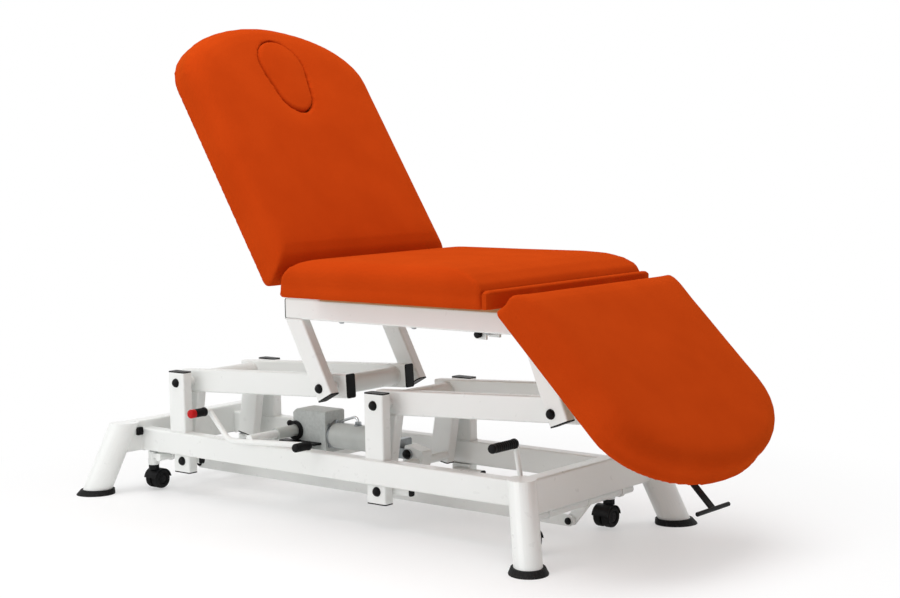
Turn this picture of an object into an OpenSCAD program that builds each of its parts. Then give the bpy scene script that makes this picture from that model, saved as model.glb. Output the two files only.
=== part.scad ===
// Three-section hydraulic massage table on an open steel frame.
// X runs along the table with the foot end at +X, the near side with the pedal is -Y, Z is up.
// The origin is on the floor, midway between the two ends. Sizes are in millimetres.

/* [Base frame] */
// Length between the outer faces of the cross rails
frame_len = 1388; // [1340:1:1440]
// Width between the outer faces of the side rails
frame_w = 376; // [370:1:390]
// Height of the underside of the rails above the floor
rail_z = 110; // [108:1:118]
// Height of a side rail
rail_h = 60; // [54:1:64]
// Width of a side rail
rail_w = 38; // [34:1:42]
// Height of a cross rail
cross_h = 80; // [72:1:90]
// Width of a cross rail along the table
cross_w = 40; // [36:1:44]
// Wall of every steel tube
wall = 3; // [2:0.5:4]
// Outer corner radius of the steel tubes
corner_r = 5; // [4.5:0.5:7]
// Distance from the middle of the table to the top of a leg, along X
leg_top_x = 666; // [655:1:680]
// Distance from the middle of the table to the top of a leg, along Y
leg_top_y = 239; // [230:1:250]
// How far a leg runs outward from its top to the floor, along X
leg_splay_x = 58; // [40:1:70]
// How far a leg runs outward from its top to the floor, along Y
leg_splay_y = 57; // [40:1:70]
// Long axis of the oval leg tube
leg_long = 72; // [64:1:76]
// Short axis of the oval leg tube
leg_short = 64; // [56:1:68]
// Height of the rubber floor rings
ring_h = 14; // [10:1:20]
// Rubber around the leg at the top of a floor ring
ring_lip = 6; // [4:0.5:9]
// Rubber around the leg at the floor
ring_flare = 12; // [8:0.5:16]
// Rubber under the end of a leg
ring_floor = 4; // [3:0.5:6]

/* [Posts and levers] */
// Place of the head post along X
post_head_x = -521; // [-530:1:-500]
// Place of the foot post along X
post_foot_x = 179; // [170:1:195]
// Long side of the post and lever tube
bar_h = 60; // [54:1:64]
// Short side of the post and lever tube
bar_w = 30; // [26:1:34]
// Height of the lower lever pivots above the floor
pivot_z = 301; // [296:1:310]
// Post above the lower pivots
post_over = 27; // [25:1:32]
// Length of a lever between its two pivots
lever_len = 524; // [510:1:530]
// Rise of the levers in the photographed position, in degrees
lever_tilt = 2.9; // [0:0.1:6]
// Lever past its upper pivot
lever_over = 40; // [34:1:46]
// Free space between a lever and the post beside it
side_gap = 25; // [20:1:30]
// Crank post below the lower pivot, with its cap
crank_len = 182; // [172:1:184]
// Lean of the crank posts from upright, in degrees
crank_lean = 10.2; // [7:0.1:12]
// Diameter of the cross tubes at the lever pivots
cross_tube_d = 48; // [42:1:50]
// Diameter of the pivot bolts
bolt_d = 16; // [12:1:18]
// Diameter of the domed bolt covers
dome_d = 24; // [19:1:26]
// Height of the domed bolt covers
dome_h = 10; // [8:0.5:11.5]
// Thickness of the caps on cut tube ends
cap_t = 3; // [2:0.5:4]

/* [Seat frame] */
// Head end of the seat rails along X
seat_x0 = -105; // [-115:1:-100]
// Underside of the seat rails above the floor
seat_z = 495; // [485:1:505]
// Height of a seat rail
seat_rail_h = 50; // [46:1:54]
// Width of the tube that the seat legs are cut from
seat_leg_w = 52; // [46:1:56]
// Lean of the head legs from upright, in degrees
head_leg_lean = 27.9; // [24:0.1:30]
// Lean of the foot legs from upright, in degrees
foot_leg_lean = 21.3; // [18:0.1:24]
// Leg below its pivot
seat_leg_under = 29; // [26:1:32]
// Height of the head cross tube of the seat
seat_tube_h = 30; // [26:1:31]
// Length of the seat board
seat_board_len = 585; // [560:1:590]
// Width of the seat board
seat_board_w = 390; // [380:1:460]
// Width of the boards of the back and leg sections
board_w = 500; // [460:1:540]
// Thickness of the seat board
board_t = 18; // [15:1:20]

/* [Cushions] */
// Width of the cushions
pad_w = 636; // [620:1:650]
// Thickness of the seat cushion
seat_pad_t = 87; // [80:1:92]
// Head end of the seat cushion along X
seat_pad_x0 = 3; // [0:1:6]
// Length of the seat cushion
seat_pad_len = 637; // [628:1:638]
// Thickness of the back cushion
back_pad_t = 82; // [76:1:86]
// Length of the back cushion
back_pad_len = 732; // [700:1:760]
// Depth of the arch at the head end
back_arch = 174; // [140:1:200]
// Thickness of the leg cushion
leg_pad_t = 82; // [76:1:90]
// Length of the leg cushion
leg_pad_len = 533; // [500:1:600]
// Depth of the arch at the foot end
leg_arch = 180; // [140:1:200]
// Rise of the middle of a cushion over its edge
crown = 5; // [2:0.5:8]
// How far the side of a cushion draws in between its edges
draw_in = 3; // [1:0.5:5]
// Rounding at the bottom edge of a cushion
pad_base_r = 8; // [5:1:10]
// Rounding at the top edge of a cushion's side
pad_side_r = 40; // [30:1:44]

/* [Back and leg sections] */
// Raise of the back section in the photographed position, in degrees
back_angle = 58.5; // [50:0.5:65]
// Drop of the leg section in the photographed position, in degrees
leg_angle = 45; // [35:1:45]
// Gap from a section hinge to the cushion that it turns
hinge_gap = 12; // [11:0.5:14]
// Height of the section hinges above the floor
hinge_z = 580; // [576:1:581]
// Thickness of the hinge plates
plate_t = 6; // [5:0.5:6.5]
// Radius of a hinge eye
eye_r = 8; // [7:0.5:9]
// Diameter of the section hinge pins
hinge_pin_d = 8; // [7:0.5:9]
// Thickness of the boards under the back and leg cushions
wing_board_t = 17; // [14:1:17]
// Wide end radius of the face hole
hole_r_wide = 78; // [70:1:90]
// Narrow end radius of the face hole
hole_r_narrow = 60; // [50:1:70]
// Distance between the centres of the two ends of the face hole
hole_span = 79; // [50:1:90]
// Distance from the back hinge to the narrow end's centre
hole_from_hinge = 521; // [490:1:540]

/* [Pump and jack] */
// Middle of the pump along X
pump_x = -175; // [-180:1:-165]
// Length of the pump housing along X
pump_len = 114; // [105:1:118]
// Width of the pump housing
pump_w = 72; // [64:1:76]
// Height of the pump housing
pump_h = 107; // [100:1:112]
// Width of the beam under the pump
beam_w = 60; // [50:1:70]
// Height of the beam under the pump
beam_h = 23; // [21:1:26]
// Diameter of the jack cylinder
jack_d = 65; // [60:1:66]
// Height of the jack's axis above the floor
jack_z = 176; // [174:1:177]
// Length of the jack cylinder
jack_len = 178; // [172:1:182]
// Diameter of the jack rod
rod_d = 28; // [24:1:32]
// Diameter of the clevis pin
drive_pin_d = 12; // [10:1:12]
// Distance from the foot lever's pivot to the clevis pin
drive_r = 147.3; // [145:0.1:149]

/* [Pedal] */
// Place of the pedal hub along X
hub_x = -222; // [-226:1:-216]
// Height of the pedal hub above the floor
hub_z = 184; // [182:1:188]
// Diameter of the pedal hub
hub_d = 30; // [26:1:34]
// Diameter of the pedal tube
pedal_d = 14; // [13:1:16]
// Distance from the middle of the table to the pedal tube
pedal_y = 205; // [203:1:212]
// Length of the pedal's grips
pedal_grip_len = 49; // [44:1:60]
// Length of the wheel lever's grip
grip_len = 85; // [70:1:95]
// Diameter of the hand and foot grips
grip_d = 20; // [18:1:24]

/* [Wheels] */
// Place of the foot axle along X
axle_foot_x = 662; // [660:1:664]
// Place of the head axle along X
axle_head_x = -590; // [-594:1:-586]
// Height of the axles above the floor
axle_z = 96; // [95:1:97]
// Diameter of the axles
axle_d = 20; // [18:1:22]
// Distance from an axle to the caster stems
caster_arm = 45; // [42:1:48]
// Distance from the middle of the table to a caster stem
stem_y = 167; // [164:1:168]
// Diameter of the caster wheels
wheel_d = 50; // [46:1:54]
// Air under the wheels with the table on its feet
wheel_lift = 5; // [4:1:7]
// Width over a pair of wheels
wheel_pair_w = 46; // [42:1:50]
// How far a wheel trails behind its stem
trail = 12; // [8:1:16]
// Height of the link bar
link_h = 26; // [22:1:28]
// Top of the wheel lever above the floor
wheel_lever_z = 257; // [245:1:268]

/* [Fits] */
// Radial clearance of pins and rods that turn or slide
run_gap = 0.05; // [0.03:0.01:0.08]
// Clearance between plates that pass each other
pass_gap = 0.5; // [0.4:0.1:0.8]

/* [Hidden] */

// How smooth circles are, and the overrun of a cut past a face
$fn = 48;
oval_n = 32;
over = 1;

// Colours
white = "#ecebe8";
orange = "#c8430f";
black = "#1b1b1c";
chrome = "#b9bcc0";
birch = "#b9925f";

// Places worked out from the frame
cross_x = frame_len / 2 - cross_w;
rail_y = frame_w / 2 - rail_w;
rail_top = rail_z + rail_h;
cross_top = rail_z + cross_h;
bolt_r = bolt_d / 2;
dome_r = dome_d / 2;
bolt_hole_r = bolt_r + run_gap;
collar_wall = 6;
collar_r = bolt_r + collar_wall;
post_y0 = rail_y;
post_y1 = post_y0 + bar_w;
bar_y1 = post_y0 - side_gap;
bar_y0 = bar_y1 - bar_w;
half_bar = bar_h / 2;
jack_x1 = pump_x + pump_len / 2 + jack_len;

// Upper pivots of the levers
seat_dx = lever_len * cos(lever_tilt);
seat_head_x = post_head_x + seat_dx;
seat_foot_x = post_foot_x + seat_dx;
seat_pivot_z = pivot_z + lever_len * sin(lever_tilt);

// Heights of the seat
seat_rail_top = seat_z + seat_rail_h;
pad_z = seat_rail_top + board_t;
seat_board_x0 = 15;
seat_board_x1 = seat_board_x0 + seat_board_len;
seat_pad_x1 = seat_pad_x0 + seat_pad_len;

// Section hinges, and the levels of a section from its hinge in the flat position
hinge_off = 20;
leg_hinge_off = 16;
back_hinge_x = seat_pad_x0 - hinge_off;
leg_hinge_x = seat_pad_x1 + leg_hinge_off;
pad_n = pad_z - hinge_z;
wing_n = pad_n - wing_board_t;
leaf_y1 = post_y0;
leaf_y0 = leaf_y1 - plate_t;
arm_y1 = leaf_y0 - pass_gap;
arm_y0 = arm_y1 - plate_t;
hinge_pin_r = hinge_pin_d / 2;

// The middle between the two ends of the whole table
leg_round_end = [36, 36];
ring_long = leg_long / cos(atan2(norm([leg_splay_x, leg_splay_y]), cross_top)) / 2 + ring_flare;
ring_short = leg_short / 2 + ring_flare;
splay_dir = atan2(leg_splay_y, leg_splay_x);
head_end_x = -(leg_top_x + leg_splay_x + norm([ring_long * cos(splay_dir), ring_short * sin(splay_dir)]));
leg_end_v = hinge_gap + leg_pad_len - leg_round_end[0];
leg_end_n = pad_n + leg_pad_t - leg_round_end[1];
foot_end_x = leg_hinge_x + leg_end_v * cos(leg_angle) + leg_end_n * sin(leg_angle) + leg_round_end[0];
mid_x = (head_end_x + foot_end_x) / 2;

// Everything is drawn from the middle of the base frame and moved so that the origin is mid-table
module at_frame() {
    translate([-mid_x, 0, 0]) children();
}

module both_sides() {
    children();
    mirror([0, 1, 0]) children();
}

// Drawing in X and Z, made solid from y0 to y1
module xz_plate(y0, y1) {
    translate([0, y1, 0]) rotate([90, 0, 0]) linear_extrude(y1 - y0) children();
}

// Drawing in Y and Z, made solid from x0 to x1
module yz_plate(x0, x1) {
    translate([x0, 0, 0]) rotate([90, 0, 90]) linear_extrude(x1 - x0) children();
}

module y_rod(x, z, y0, y1, r) {
    translate([x, y0, z]) rotate([-90, 0, 0]) cylinder(h = y1 - y0, r = r);
}

module x_rod(x0, x1, y, z, r) {
    translate([x0, y, z]) rotate([0, 90, 0]) cylinder(h = x1 - x0, r = r);
}

module z_rod(x, y, z0, z1, r) {
    translate([x, y, z0]) cylinder(h = z1 - z0, r = r);
}

module box(x0, x1, y0, y1, z0, z1) {
    translate([x0, y0, z0]) cube([x1 - x0, y1 - y0, z1 - z0]);
}

// Centred rectangle with round corners
module round_rect(w, h, r) {
    square([w - 2 * r, h], center = true);
    square([w, h - 2 * r], center = true);
    for (sx = [-1, 1], sy = [-1, 1]) translate([sx * (w / 2 - r), sy * (h / 2 - r)]) circle(r = r);
}

// Section of a square tube
module tube_2d(w, h) {
    difference() {
        round_rect(w, h, corner_r);
        round_rect(w - 2 * wall, h - 2 * wall, corner_r - wall);
    }
}

// Square tube along X: w is across the table, h is up
module x_tube(x0, x1, y, z, w, h) {
    translate([0, y, z]) yz_plate(x0, x1) tube_2d(w, h);
}

// Square tube along Y: w is along the table, h is up
module y_tube(y0, y1, x, z, w, h) {
    translate([x, 0, z]) xz_plate(y0, y1) tube_2d(w, h);
}

// Square tube along Z: w is along the table, d is across it
module z_tube(z0, z1, x, y, w, d) {
    translate([x, y, z0]) linear_extrude(z1 - z0) tube_2d(w, d);
}

// Flat link between two eyes of radius r, drawn in X and Z, a hair narrower than they are
seam = 0.02;
module link_2d(a, b, r) {
    translate(a) circle(r = r);
    translate(b) circle(r = r);
    translate(a) rotate(atan2(b[1] - a[1], b[0] - a[0])) translate([0, seam - r])
        square([norm(b - a), 2 * (r - seam)]);
}

// Low dome that covers a bolt head, growing from the face at y1 towards +Y
module dome(x, z, y1, r, h) {
    ball_r = (r * r + h * h) / (2 * h);
    translate([x, y1, z]) rotate([-90, 0, 0]) intersection() {
        cylinder(h = h, r = r);
        translate([0, 0, h - ball_r]) sphere(r = ball_r);
    }
}

// Points of an ellipse
function oval(a, b, n) = [for (i = [0:n - 1]) [a * cos(360 * i / n), b * sin(360 * i / n)]];

// Points round two circles of radius r1 and r2 whose centres lie d apart along X
function egg(r1, r2, d, n) = let (b = asin((r1 - r2) / d)) concat(
    [for (i = [0:n]) let (a = 90 - b + (180 + 2 * b) * i / n) [r1 * cos(a), r1 * sin(a)]],
    [for (i = [0:n]) let (a = 270 + b + (180 - 2 * b) * i / n) [d + r2 * cos(a), r2 * sin(a)]]);

// Quarter of a cushion's end. Each point is [x, y, share of the end's rounding].
function end_quarter(x, depth, width, half, dir, side, n) =
    [for (i = [0:n]) let (a = 90 * i / n)
        [x + dir * depth * (cos(a) - 1), side * (half - width + width * sin(a)), pow(cos(a), 2)]];
function backward(list) = [for (i = [len(list) - 1:-1:0]) list[i]];
pad_steps = 10;
// Outline of a cushion from x0 to x1, with ends given as [arch depth, arch half width]
function pad_outline(x0, x1, half, end0, end1) = concat(
    end_quarter(x1, end1[0], end1[1], half, 1, 1, pad_steps),
    backward(end_quarter(x0, end0[0], end0[1], half, -1, 1, pad_steps)),
    end_quarter(x0, end0[0], end0[1], half, -1, -1, pad_steps),
    backward(end_quarter(x1, end1[0], end1[1], half, 1, -1, pad_steps)));

// Closed solid through rings of points, with a middle point under the first and over the last
module loft(rings, low, high) {
    n = len(rings[0]);
    m = len(rings);
    points = concat([for (ring = rings) each ring], [low, high]);
    faces = concat(
        [for (j = [0:m - 2], i = [0:n - 1]) let (k = (i + 1) % n)
            [j * n + i, (j + 1) * n + i, (j + 1) * n + k]],
        [for (j = [0:m - 2], i = [0:n - 1]) let (k = (i + 1) % n)
            [j * n + i, (j + 1) * n + k, j * n + k]],
        [for (i = [0:n - 1]) [m * n, i, (i + 1) % n]],
        [for (i = [0:n - 1]) [m * n + 1, (m - 1) * n + (i + 1) % n, (m - 1) * n + i]]);
    polyhedron(points, faces);
}

// Round tube with one bend, in the plane at y, through three points in X and Z
tube_sides = 24;
bend_steps = 7;
module bent_tube(y, a, b, c, bend, r) {
    d1 = (b - a) / norm(b - a);
    d2 = (c - b) / norm(c - b);
    turn = atan2(d1[0] * d2[1] - d1[1] * d2[0], d1 * d2);
    side = sign(turn);
    start = b - d1 * bend * tan(abs(turn) / 2);
    centre = start + side * bend * [-d1[1], d1[0]];
    heading = atan2(d1[1], d1[0]);
    function stop(p, h) = [for (k = [0:tube_sides - 1]) let (q = 360 * k / tube_sides)
        [p[0] - r * cos(q) * sin(h), y - r * sin(q), p[1] + r * cos(q) * cos(h)]];
    loft(concat([stop(a, heading)],
        [for (i = [0:bend_steps]) let (h = heading + turn * i / bend_steps)
            stop(centre + side * bend * [sin(h), -cos(h)], h)],
        [stop(c, heading + turn)]), [a[0], y, a[1]], [c[0], y, c[1]]);
}

// Cushion on the level z: its sides draw in, its top edge is round and its middle is crowned.
// The round of an end is given as [length, height].
base_angles = [90, 45, 0];
top_angles = [0, 22.5, 45, 67.5, 90];
crown_shares = [0.8, 0.5, 0.2];
module pad(x0, x1, half, end0, end1, round0, round1, z, t) {
    plan = pad_outline(x0, x1, half, end0, end1);
    cx = (x0 + x1) / 2;
    hl = (x1 - x0) / 2;
    function end_round(p) = p[0] < cx ? round0 : round1;
    function side_h(p) = pad_side_r + (end_round(p)[1] - pad_side_r) * p[2];
    function at(p, ix, iy, h) = [cx + (p[0] - cx) * (1 - ix / hl), p[1] * (1 - iy / half), h];
    function low(p, a) = at(p, pad_base_r * (1 - cos(a)), pad_base_r * (1 - cos(a)),
        z + pad_base_r * (1 - sin(a)));
    function high(p, a) = at(p, end_round(p)[0] * (1 - cos(a)), pad_side_r * (1 - cos(a)),
        z + t - side_h(p) * (1 - sin(a)));
    function inner(p, s) = let (q = high(p, 90))
        [cx + (q[0] - cx) * s, q[1] * s, z + t + crown * (1 - s * s)];
    loft(concat(
        [for (a = base_angles) [for (p = plan) low(p, a)]],
        [[for (p = plan) at(p, draw_in, draw_in, z + (pad_base_r + t - side_h(p)) / 2)]],
        [for (a = top_angles) [for (p = plan) high(p, a)]],
        [for (s = crown_shares) [for (p = plan) inner(p, s)]]),
        [cx, 0, z], [cx, 0, z + t + crown]);
}

// Base frame

module side_rail(side) {
    color(white) at_frame()
        x_tube(-cross_x, cross_x, side * (rail_y + rail_w / 2), rail_z + rail_h / 2, rail_w, rail_h);
}
module side_rail_near() { side_rail(-1); }
module side_rail_far() { side_rail(1); }

module four_corners() {
    for (sx = [0, 1], sy = [0, 1]) mirror([sx, 0, 0]) mirror([0, sy, 0]) children();
}

leg_tilt = atan2(norm([leg_splay_x, leg_splay_y]), cross_top);
leg_reach = 2 * cross_top;
// Oval leg at the +X, +Y corner, from the level z0 to z1 and larger all round by grow
module leg_form(grow, z0, z1) {
    intersection() {
        translate([leg_top_x + leg_splay_x, leg_top_y + leg_splay_y, 0]) rotate([0, 0, splay_dir])
            rotate([0, -leg_tilt, 0]) translate([0, 0, -leg_long])
            linear_extrude(leg_reach) polygon(oval(leg_long / 2 + grow, leg_short / 2 + grow, oval_n));
        box(0, 2 * leg_top_x, 0, 2 * leg_top_y, z0, z1);
    }
}

module cross_rail() {
    difference() {
        y_tube(-leg_top_y, leg_top_y, cross_x + cross_w / 2, rail_z + cross_h / 2, cross_w, cross_h);
        both_sides() leg_form(0, 0, cross_top + over);
    }
}
module cross_rail_foot() { color(white) at_frame() cross_rail(); }
module cross_rail_head() { color(white) at_frame() mirror([1, 0, 0]) cross_rail(); }

module frame_legs() {
    color(white) at_frame() four_corners() difference() {
        leg_form(0, ring_floor, cross_top);
        leg_form(-wall, 0, cross_top - wall);
    }
}

// Points of a floor ring's edge at the level z, with so much rubber round the leg
function ring_edge(rubber, z) = [for (q = oval(ring_long - ring_flare + rubber, ring_short - ring_flare + rubber,
    oval_n)) let (k = 1 - z / cross_top)
    [leg_top_x + leg_splay_x * k + q[0] * cos(splay_dir) - q[1] * sin(splay_dir),
     leg_top_y + leg_splay_y * k + q[0] * sin(splay_dir) + q[1] * cos(splay_dir), z]];
module rubber_feet() {
    color(black) at_frame() four_corners()
        loft([ring_edge(ring_flare, 0), ring_edge(ring_flare, ring_floor / 2), ring_edge(ring_lip, ring_h),
            ring_edge(0, ring_h), ring_edge(0, ring_floor)],
            [leg_top_x + leg_splay_x, leg_top_y + leg_splay_y, 0],
            [leg_top_x + leg_splay_x, leg_top_y + leg_splay_y, ring_floor]);
}

post_xs = [post_head_x, post_foot_x];
module posts() {
    color(white) at_frame() both_sides() for (x = post_xs) difference() {
        union() {
            z_tube(rail_top, pivot_z + post_over, x, post_y0 + bar_w / 2, bar_h, bar_w);
            y_rod(x, pivot_z, bar_y1 + pass_gap, post_y0 + wall / 2, collar_r);
        }
        y_rod(x, pivot_z, bar_y1, post_y1 + over, bolt_hole_r);
    }
}

// Lugs under the side rails, with the sleeves beside them and the bearings of the two axles
lug_in = 4;
lug_drop = 46;
lug_y0 = rail_y - lug_in;
lug_z0 = rail_z - lug_drop;
sleeve_d = 18;
sleeve_back = 12;
sleeve_ends = [43, 78];
sleeve_down = 17;
sleeve_z = rail_z - sleeve_down;
lug_dxs = [8, 0];
bearing_t = 8;
bearing_r = 13;
bearing_up = 26;
axle_r = axle_d / 2;
module rail_lugs() {
    color(white) at_frame() both_sides() {
        for (i = [0, 1]) {
            z_tube(lug_z0, rail_z, post_xs[i] + lug_dxs[i], lug_y0 + bar_w / 2, bar_h, bar_w);
            x_tube(post_xs[i] - sleeve_back, post_xs[i] + sleeve_ends[i], lug_y0 - sleeve_d / 2, sleeve_z,
                sleeve_d, sleeve_d);
        }
        xz_plate(rail_y - bearing_t, rail_y) difference() {
            union() {
                translate([axle_head_x, axle_z]) circle(r = bearing_r);
                translate([axle_head_x - bearing_r, axle_z])
                    square([2 * bearing_r, rail_z + bearing_up - axle_z]);
            }
            translate([axle_head_x, axle_z]) circle(r = axle_r + run_gap);
        }
        xz_plate(rail_y - bearing_t, rail_y) difference() {
            union() {
                translate([axle_foot_x, axle_z]) circle(r = bearing_r);
                translate([axle_foot_x - bearing_r, axle_z]) square([2 * bearing_r, rail_z - axle_z]);
            }
            translate([axle_foot_x, axle_z]) circle(r = axle_r + run_gap);
        }
    }
}

// Cap on an upright tube end, from z up
module flat_cap(x, y, z, w, d) {
    translate([x, y, z]) linear_extrude(cap_t) round_rect(w, d, corner_r);
}

plug_y = 199;
plug_w = 20;
plug_h = 21;
plug_t = 6;
plug_z = 163;
module frame_caps() {
    color(black) at_frame() {
        both_sides() for (i = [0, 1]) {
            flat_cap(post_xs[i], post_y0 + bar_w / 2, pivot_z + post_over, bar_h, bar_w);
            flat_cap(post_xs[i] + lug_dxs[i], lug_y0 + bar_w / 2, lug_z0 - cap_t, bar_h, bar_w);
            translate([0, lug_y0 - sleeve_d / 2, sleeve_z])
                yz_plate(post_xs[i] + sleeve_ends[i], post_xs[i] + sleeve_ends[i] + cap_t)
                round_rect(sleeve_d, sleeve_d, corner_r);
        }
        translate([0, -plug_y, plug_z]) yz_plate(-cross_x, plug_t - cross_x) round_rect(plug_w, plug_h, wall);
    }
}

// Pivot bolt through the outer tube, its spacer and the lever, with its domed cover
module pivot_bolt(x, z) {
    y_rod(x, z, bar_y0 + over, post_y1, bolt_r);
    dome(x, z, post_y1, dome_r, dome_h);
}
lug_bolt_dx = 3;
module frame_bolts() {
    color(black) at_frame() both_sides() for (i = [0, 1]) {
        pivot_bolt(post_xs[i], pivot_z);
        dome(post_xs[i] + lug_dxs[i] + lug_bolt_dx, sleeve_z, lug_y0 + bar_w, dome_r, dome_h);
    }
}

// Pump and jack

module pump_beam() {
    color(white) at_frame()
        y_tube(-rail_y, rail_y, pump_x, rail_z + beam_h / 2, beam_w, beam_h);
}

pump_x0 = pump_x - pump_len / 2;
pump_x1 = pump_x + pump_len / 2;
pump_z0 = rail_z + beam_h;
pump_z1 = pump_z0 + pump_h;
pump_slope = 10;
pump_cut = 4;
pump_back_cut = 10;
hub_r = hub_d / 2;
shaft_r = 8;
shaft_in = 24;
module pump_housing() {
    color("#b8babb") at_frame() difference() {
        intersection() {
            xz_plate(-pump_w / 2, pump_w / 2) polygon([[pump_x0, pump_z0], [pump_x1, pump_z0],
                [pump_x1, pump_z1 - pump_cut / 2], [pump_x1 - pump_cut / 2, pump_z1],
                [pump_x0 + pump_slope, pump_z1], [pump_x0, pump_z1 - pump_back_cut]]);
            yz_plate(pump_x0, pump_x1) polygon([[-pump_w / 2, pump_z0], [pump_w / 2, pump_z0],
                [pump_w / 2, pump_z1 - pump_cut], [pump_w / 2 - pump_cut, pump_z1],
                [pump_cut - pump_w / 2, pump_z1], [-pump_w / 2, pump_z1 - pump_cut]]);
        }
        y_rod(hub_x, hub_z, -pump_w / 2 - over, shaft_in - pump_w / 2 + over, shaft_r + run_gap);
    }
}

valve_r = 25;
valve_bore = 17;
valve_t = 8;
valve_ball_r = 8;
valve_ball_dx = 19;
valve_ball_dz = 17;
strip_back = 38;
strip_front = 89;
strip_w = 26;
strip_t = 5;
module pump_valve() {
    color(black) at_frame() {
        difference() {
            y_rod(hub_x, hub_z, -pump_w / 2 - valve_t, -pump_w / 2, valve_r);
            y_rod(hub_x, hub_z, -pump_w / 2 - valve_t - over, over - pump_w / 2, valve_bore);
            box(hub_x - 2 * valve_r, hub_x, -pump_w / 2 - valve_t - over, over - pump_w / 2,
                hub_z - valve_r / 4, hub_z + valve_r / 4);
        }
        translate([hub_x - valve_ball_dx, -(pump_w + valve_t) / 2, hub_z + valve_ball_dz]) sphere(r = valve_ball_r);
        box(hub_x - strip_back, hub_x + strip_front, -pump_w / 2 - strip_w, -pump_w / 2,
            hub_z - valve_r - strip_t, hub_z - valve_r);
    }
}

jack_r = jack_d / 2;
rod_r = rod_d / 2;
gland_len = 14;
gland_step = 4;
jack_wall = 6;
module jack_cylinder() {
    color("#c9cbcd") at_frame() difference() {
        union() {
            x_rod(pump_x1, jack_x1 - gland_len, 0, jack_z, jack_r);
            x_rod(jack_x1 - gland_len, jack_x1, 0, jack_z, jack_r - gland_step);
        }
        x_rod(pump_x1 + jack_wall, jack_x1 - gland_len, 0, jack_z, jack_r - jack_wall);
        x_rod(jack_x1 - gland_len - over, jack_x1 + over, 0, jack_z, rod_r + run_gap);
    }
}

pipe_r = 3.5;
pipe_z0 = 206;
pipe_z1 = 233;
pipe_len = 82;
pipe_bend = 12;
module oil_pipe() {
    color(chrome) at_frame() difference() {
        bent_tube(0, [pump_x1, pipe_z0], [pump_x1 + pipe_len, pipe_z1], [pump_x1 + pipe_len, jack_z],
            pipe_bend, pipe_r);
        x_rod(pump_x1, jack_x1, 0, jack_z, jack_r);
        box(pump_x1 - 2 * pipe_len, pump_x1, -pump_w, pump_w, pump_z0, pump_z1);
    }
}

// Lift levers

module lever_frame(px) { translate([px, 0, pivot_z]) rotate([0, -lever_tilt, 0]) children(); }
module crank_frame(px) { translate([px, 0, pivot_z]) rotate([0, crank_lean, 0]) children(); }
bar_y = bar_y0 + bar_w / 2;

// A bar lies over its crank post and reaches back to the post's outer face
crank_bend = lever_tilt + crank_lean;
bar_back = half_bar / cos(crank_bend) + half_bar * tan(crank_bend);
module crank_posts(px) {
    color(white) at_frame() both_sides() crank_frame(px) difference() {
        z_tube(cap_t - crank_len, 0, 0, bar_y, bar_h, bar_w);
        rotate([0, -crank_bend, 0])
            box(-crank_len, crank_len, bar_y0 - over, bar_y1 + over, -half_bar, crank_len);
    }
}

module bars(px) {
    color(white) at_frame() both_sides() lever_frame(px) difference() {
        union() {
            x_tube(-bar_back, lever_len + lever_over, bar_y, 0, bar_w, bar_h);
            translate([0, bar_y, 0]) yz_plate(-bar_back, wall - bar_back) round_rect(bar_w, bar_h, corner_r);
            for (x = [0, lever_len]) y_rod(x, 0, bar_y0, bar_y1, collar_r);
        }
        for (x = [0, lever_len]) y_rod(x, 0, bar_y0 - over, bar_y1 + over, bolt_hole_r);
    }
}

module cross_tubes(x0, x1) {
    color(white) at_frame() difference() {
        union() {
            y_rod(x0, pivot_z, -bar_y0, bar_y0, cross_tube_d / 2);
            y_rod(x1, seat_pivot_z, -bar_y0, bar_y0, cross_tube_d / 2);
        }
        y_rod(x0, pivot_z, -bar_y0 - over, bar_y0 + over, cross_tube_d / 2 - wall);
        y_rod(x1, seat_pivot_z, -bar_y0 - over, bar_y0 + over, cross_tube_d / 2 - wall);
    }
}

module lever_caps(px) {
    color(black) at_frame() both_sides() {
        lever_frame(px) translate([0, bar_y, 0])
            yz_plate(lever_len + lever_over, lever_len + lever_over + cap_t) round_rect(bar_w, bar_h, corner_r);
        crank_frame(px) flat_cap(0, bar_y, -crank_len, bar_h, bar_w);
    }
}

module head_bars() { bars(post_head_x); }
module head_crank_posts() { crank_posts(post_head_x); }
module head_cross_tubes() { cross_tubes(post_head_x, seat_head_x); }
module head_lever_caps() { lever_caps(post_head_x); }
module foot_bars() { bars(post_foot_x); }
module foot_crank_posts() { crank_posts(post_foot_x); }
module foot_cross_tubes() { cross_tubes(post_foot_x, seat_foot_x); }
module foot_lever_caps() { lever_caps(post_foot_x); }

// Slotted block on the tube between the foot crank posts, which the jack rod's pin pushes
drive_lean = 12.1;
drive_pin_r = drive_pin_d / 2;
block_back = 16;
block_front = 44;
block_half_h = 21;
block_half_w = 18;
slot_down = 2.2;
slot_half = 13;
slot_play = 1.7;
slot_r = drive_pin_r + slot_play;
drive_tube_r = 11;
drive_tube_dx = 28;
drive_tube_down = 160;
module drive_block() {
    color(white) at_frame() translate([post_foot_x, 0, pivot_z]) rotate([0, drive_lean, 0]) difference() {
        union() {
            xz_plate(-block_half_w, block_half_w) translate([(block_front - block_back) / 2,
                -drive_r - slot_down]) round_rect(block_front + block_back, 2 * block_half_h, corner_r);
            y_rod(drive_tube_dx, -drive_tube_down, -bar_y0, bar_y0, drive_tube_r);
        }
        xz_plate(-block_half_w - over, block_half_w + over)
            link_2d([0, -drive_r - slot_down - slot_half + slot_r],
                [0, -drive_r - slot_down + slot_half - slot_r], slot_r);
    }
}

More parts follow.
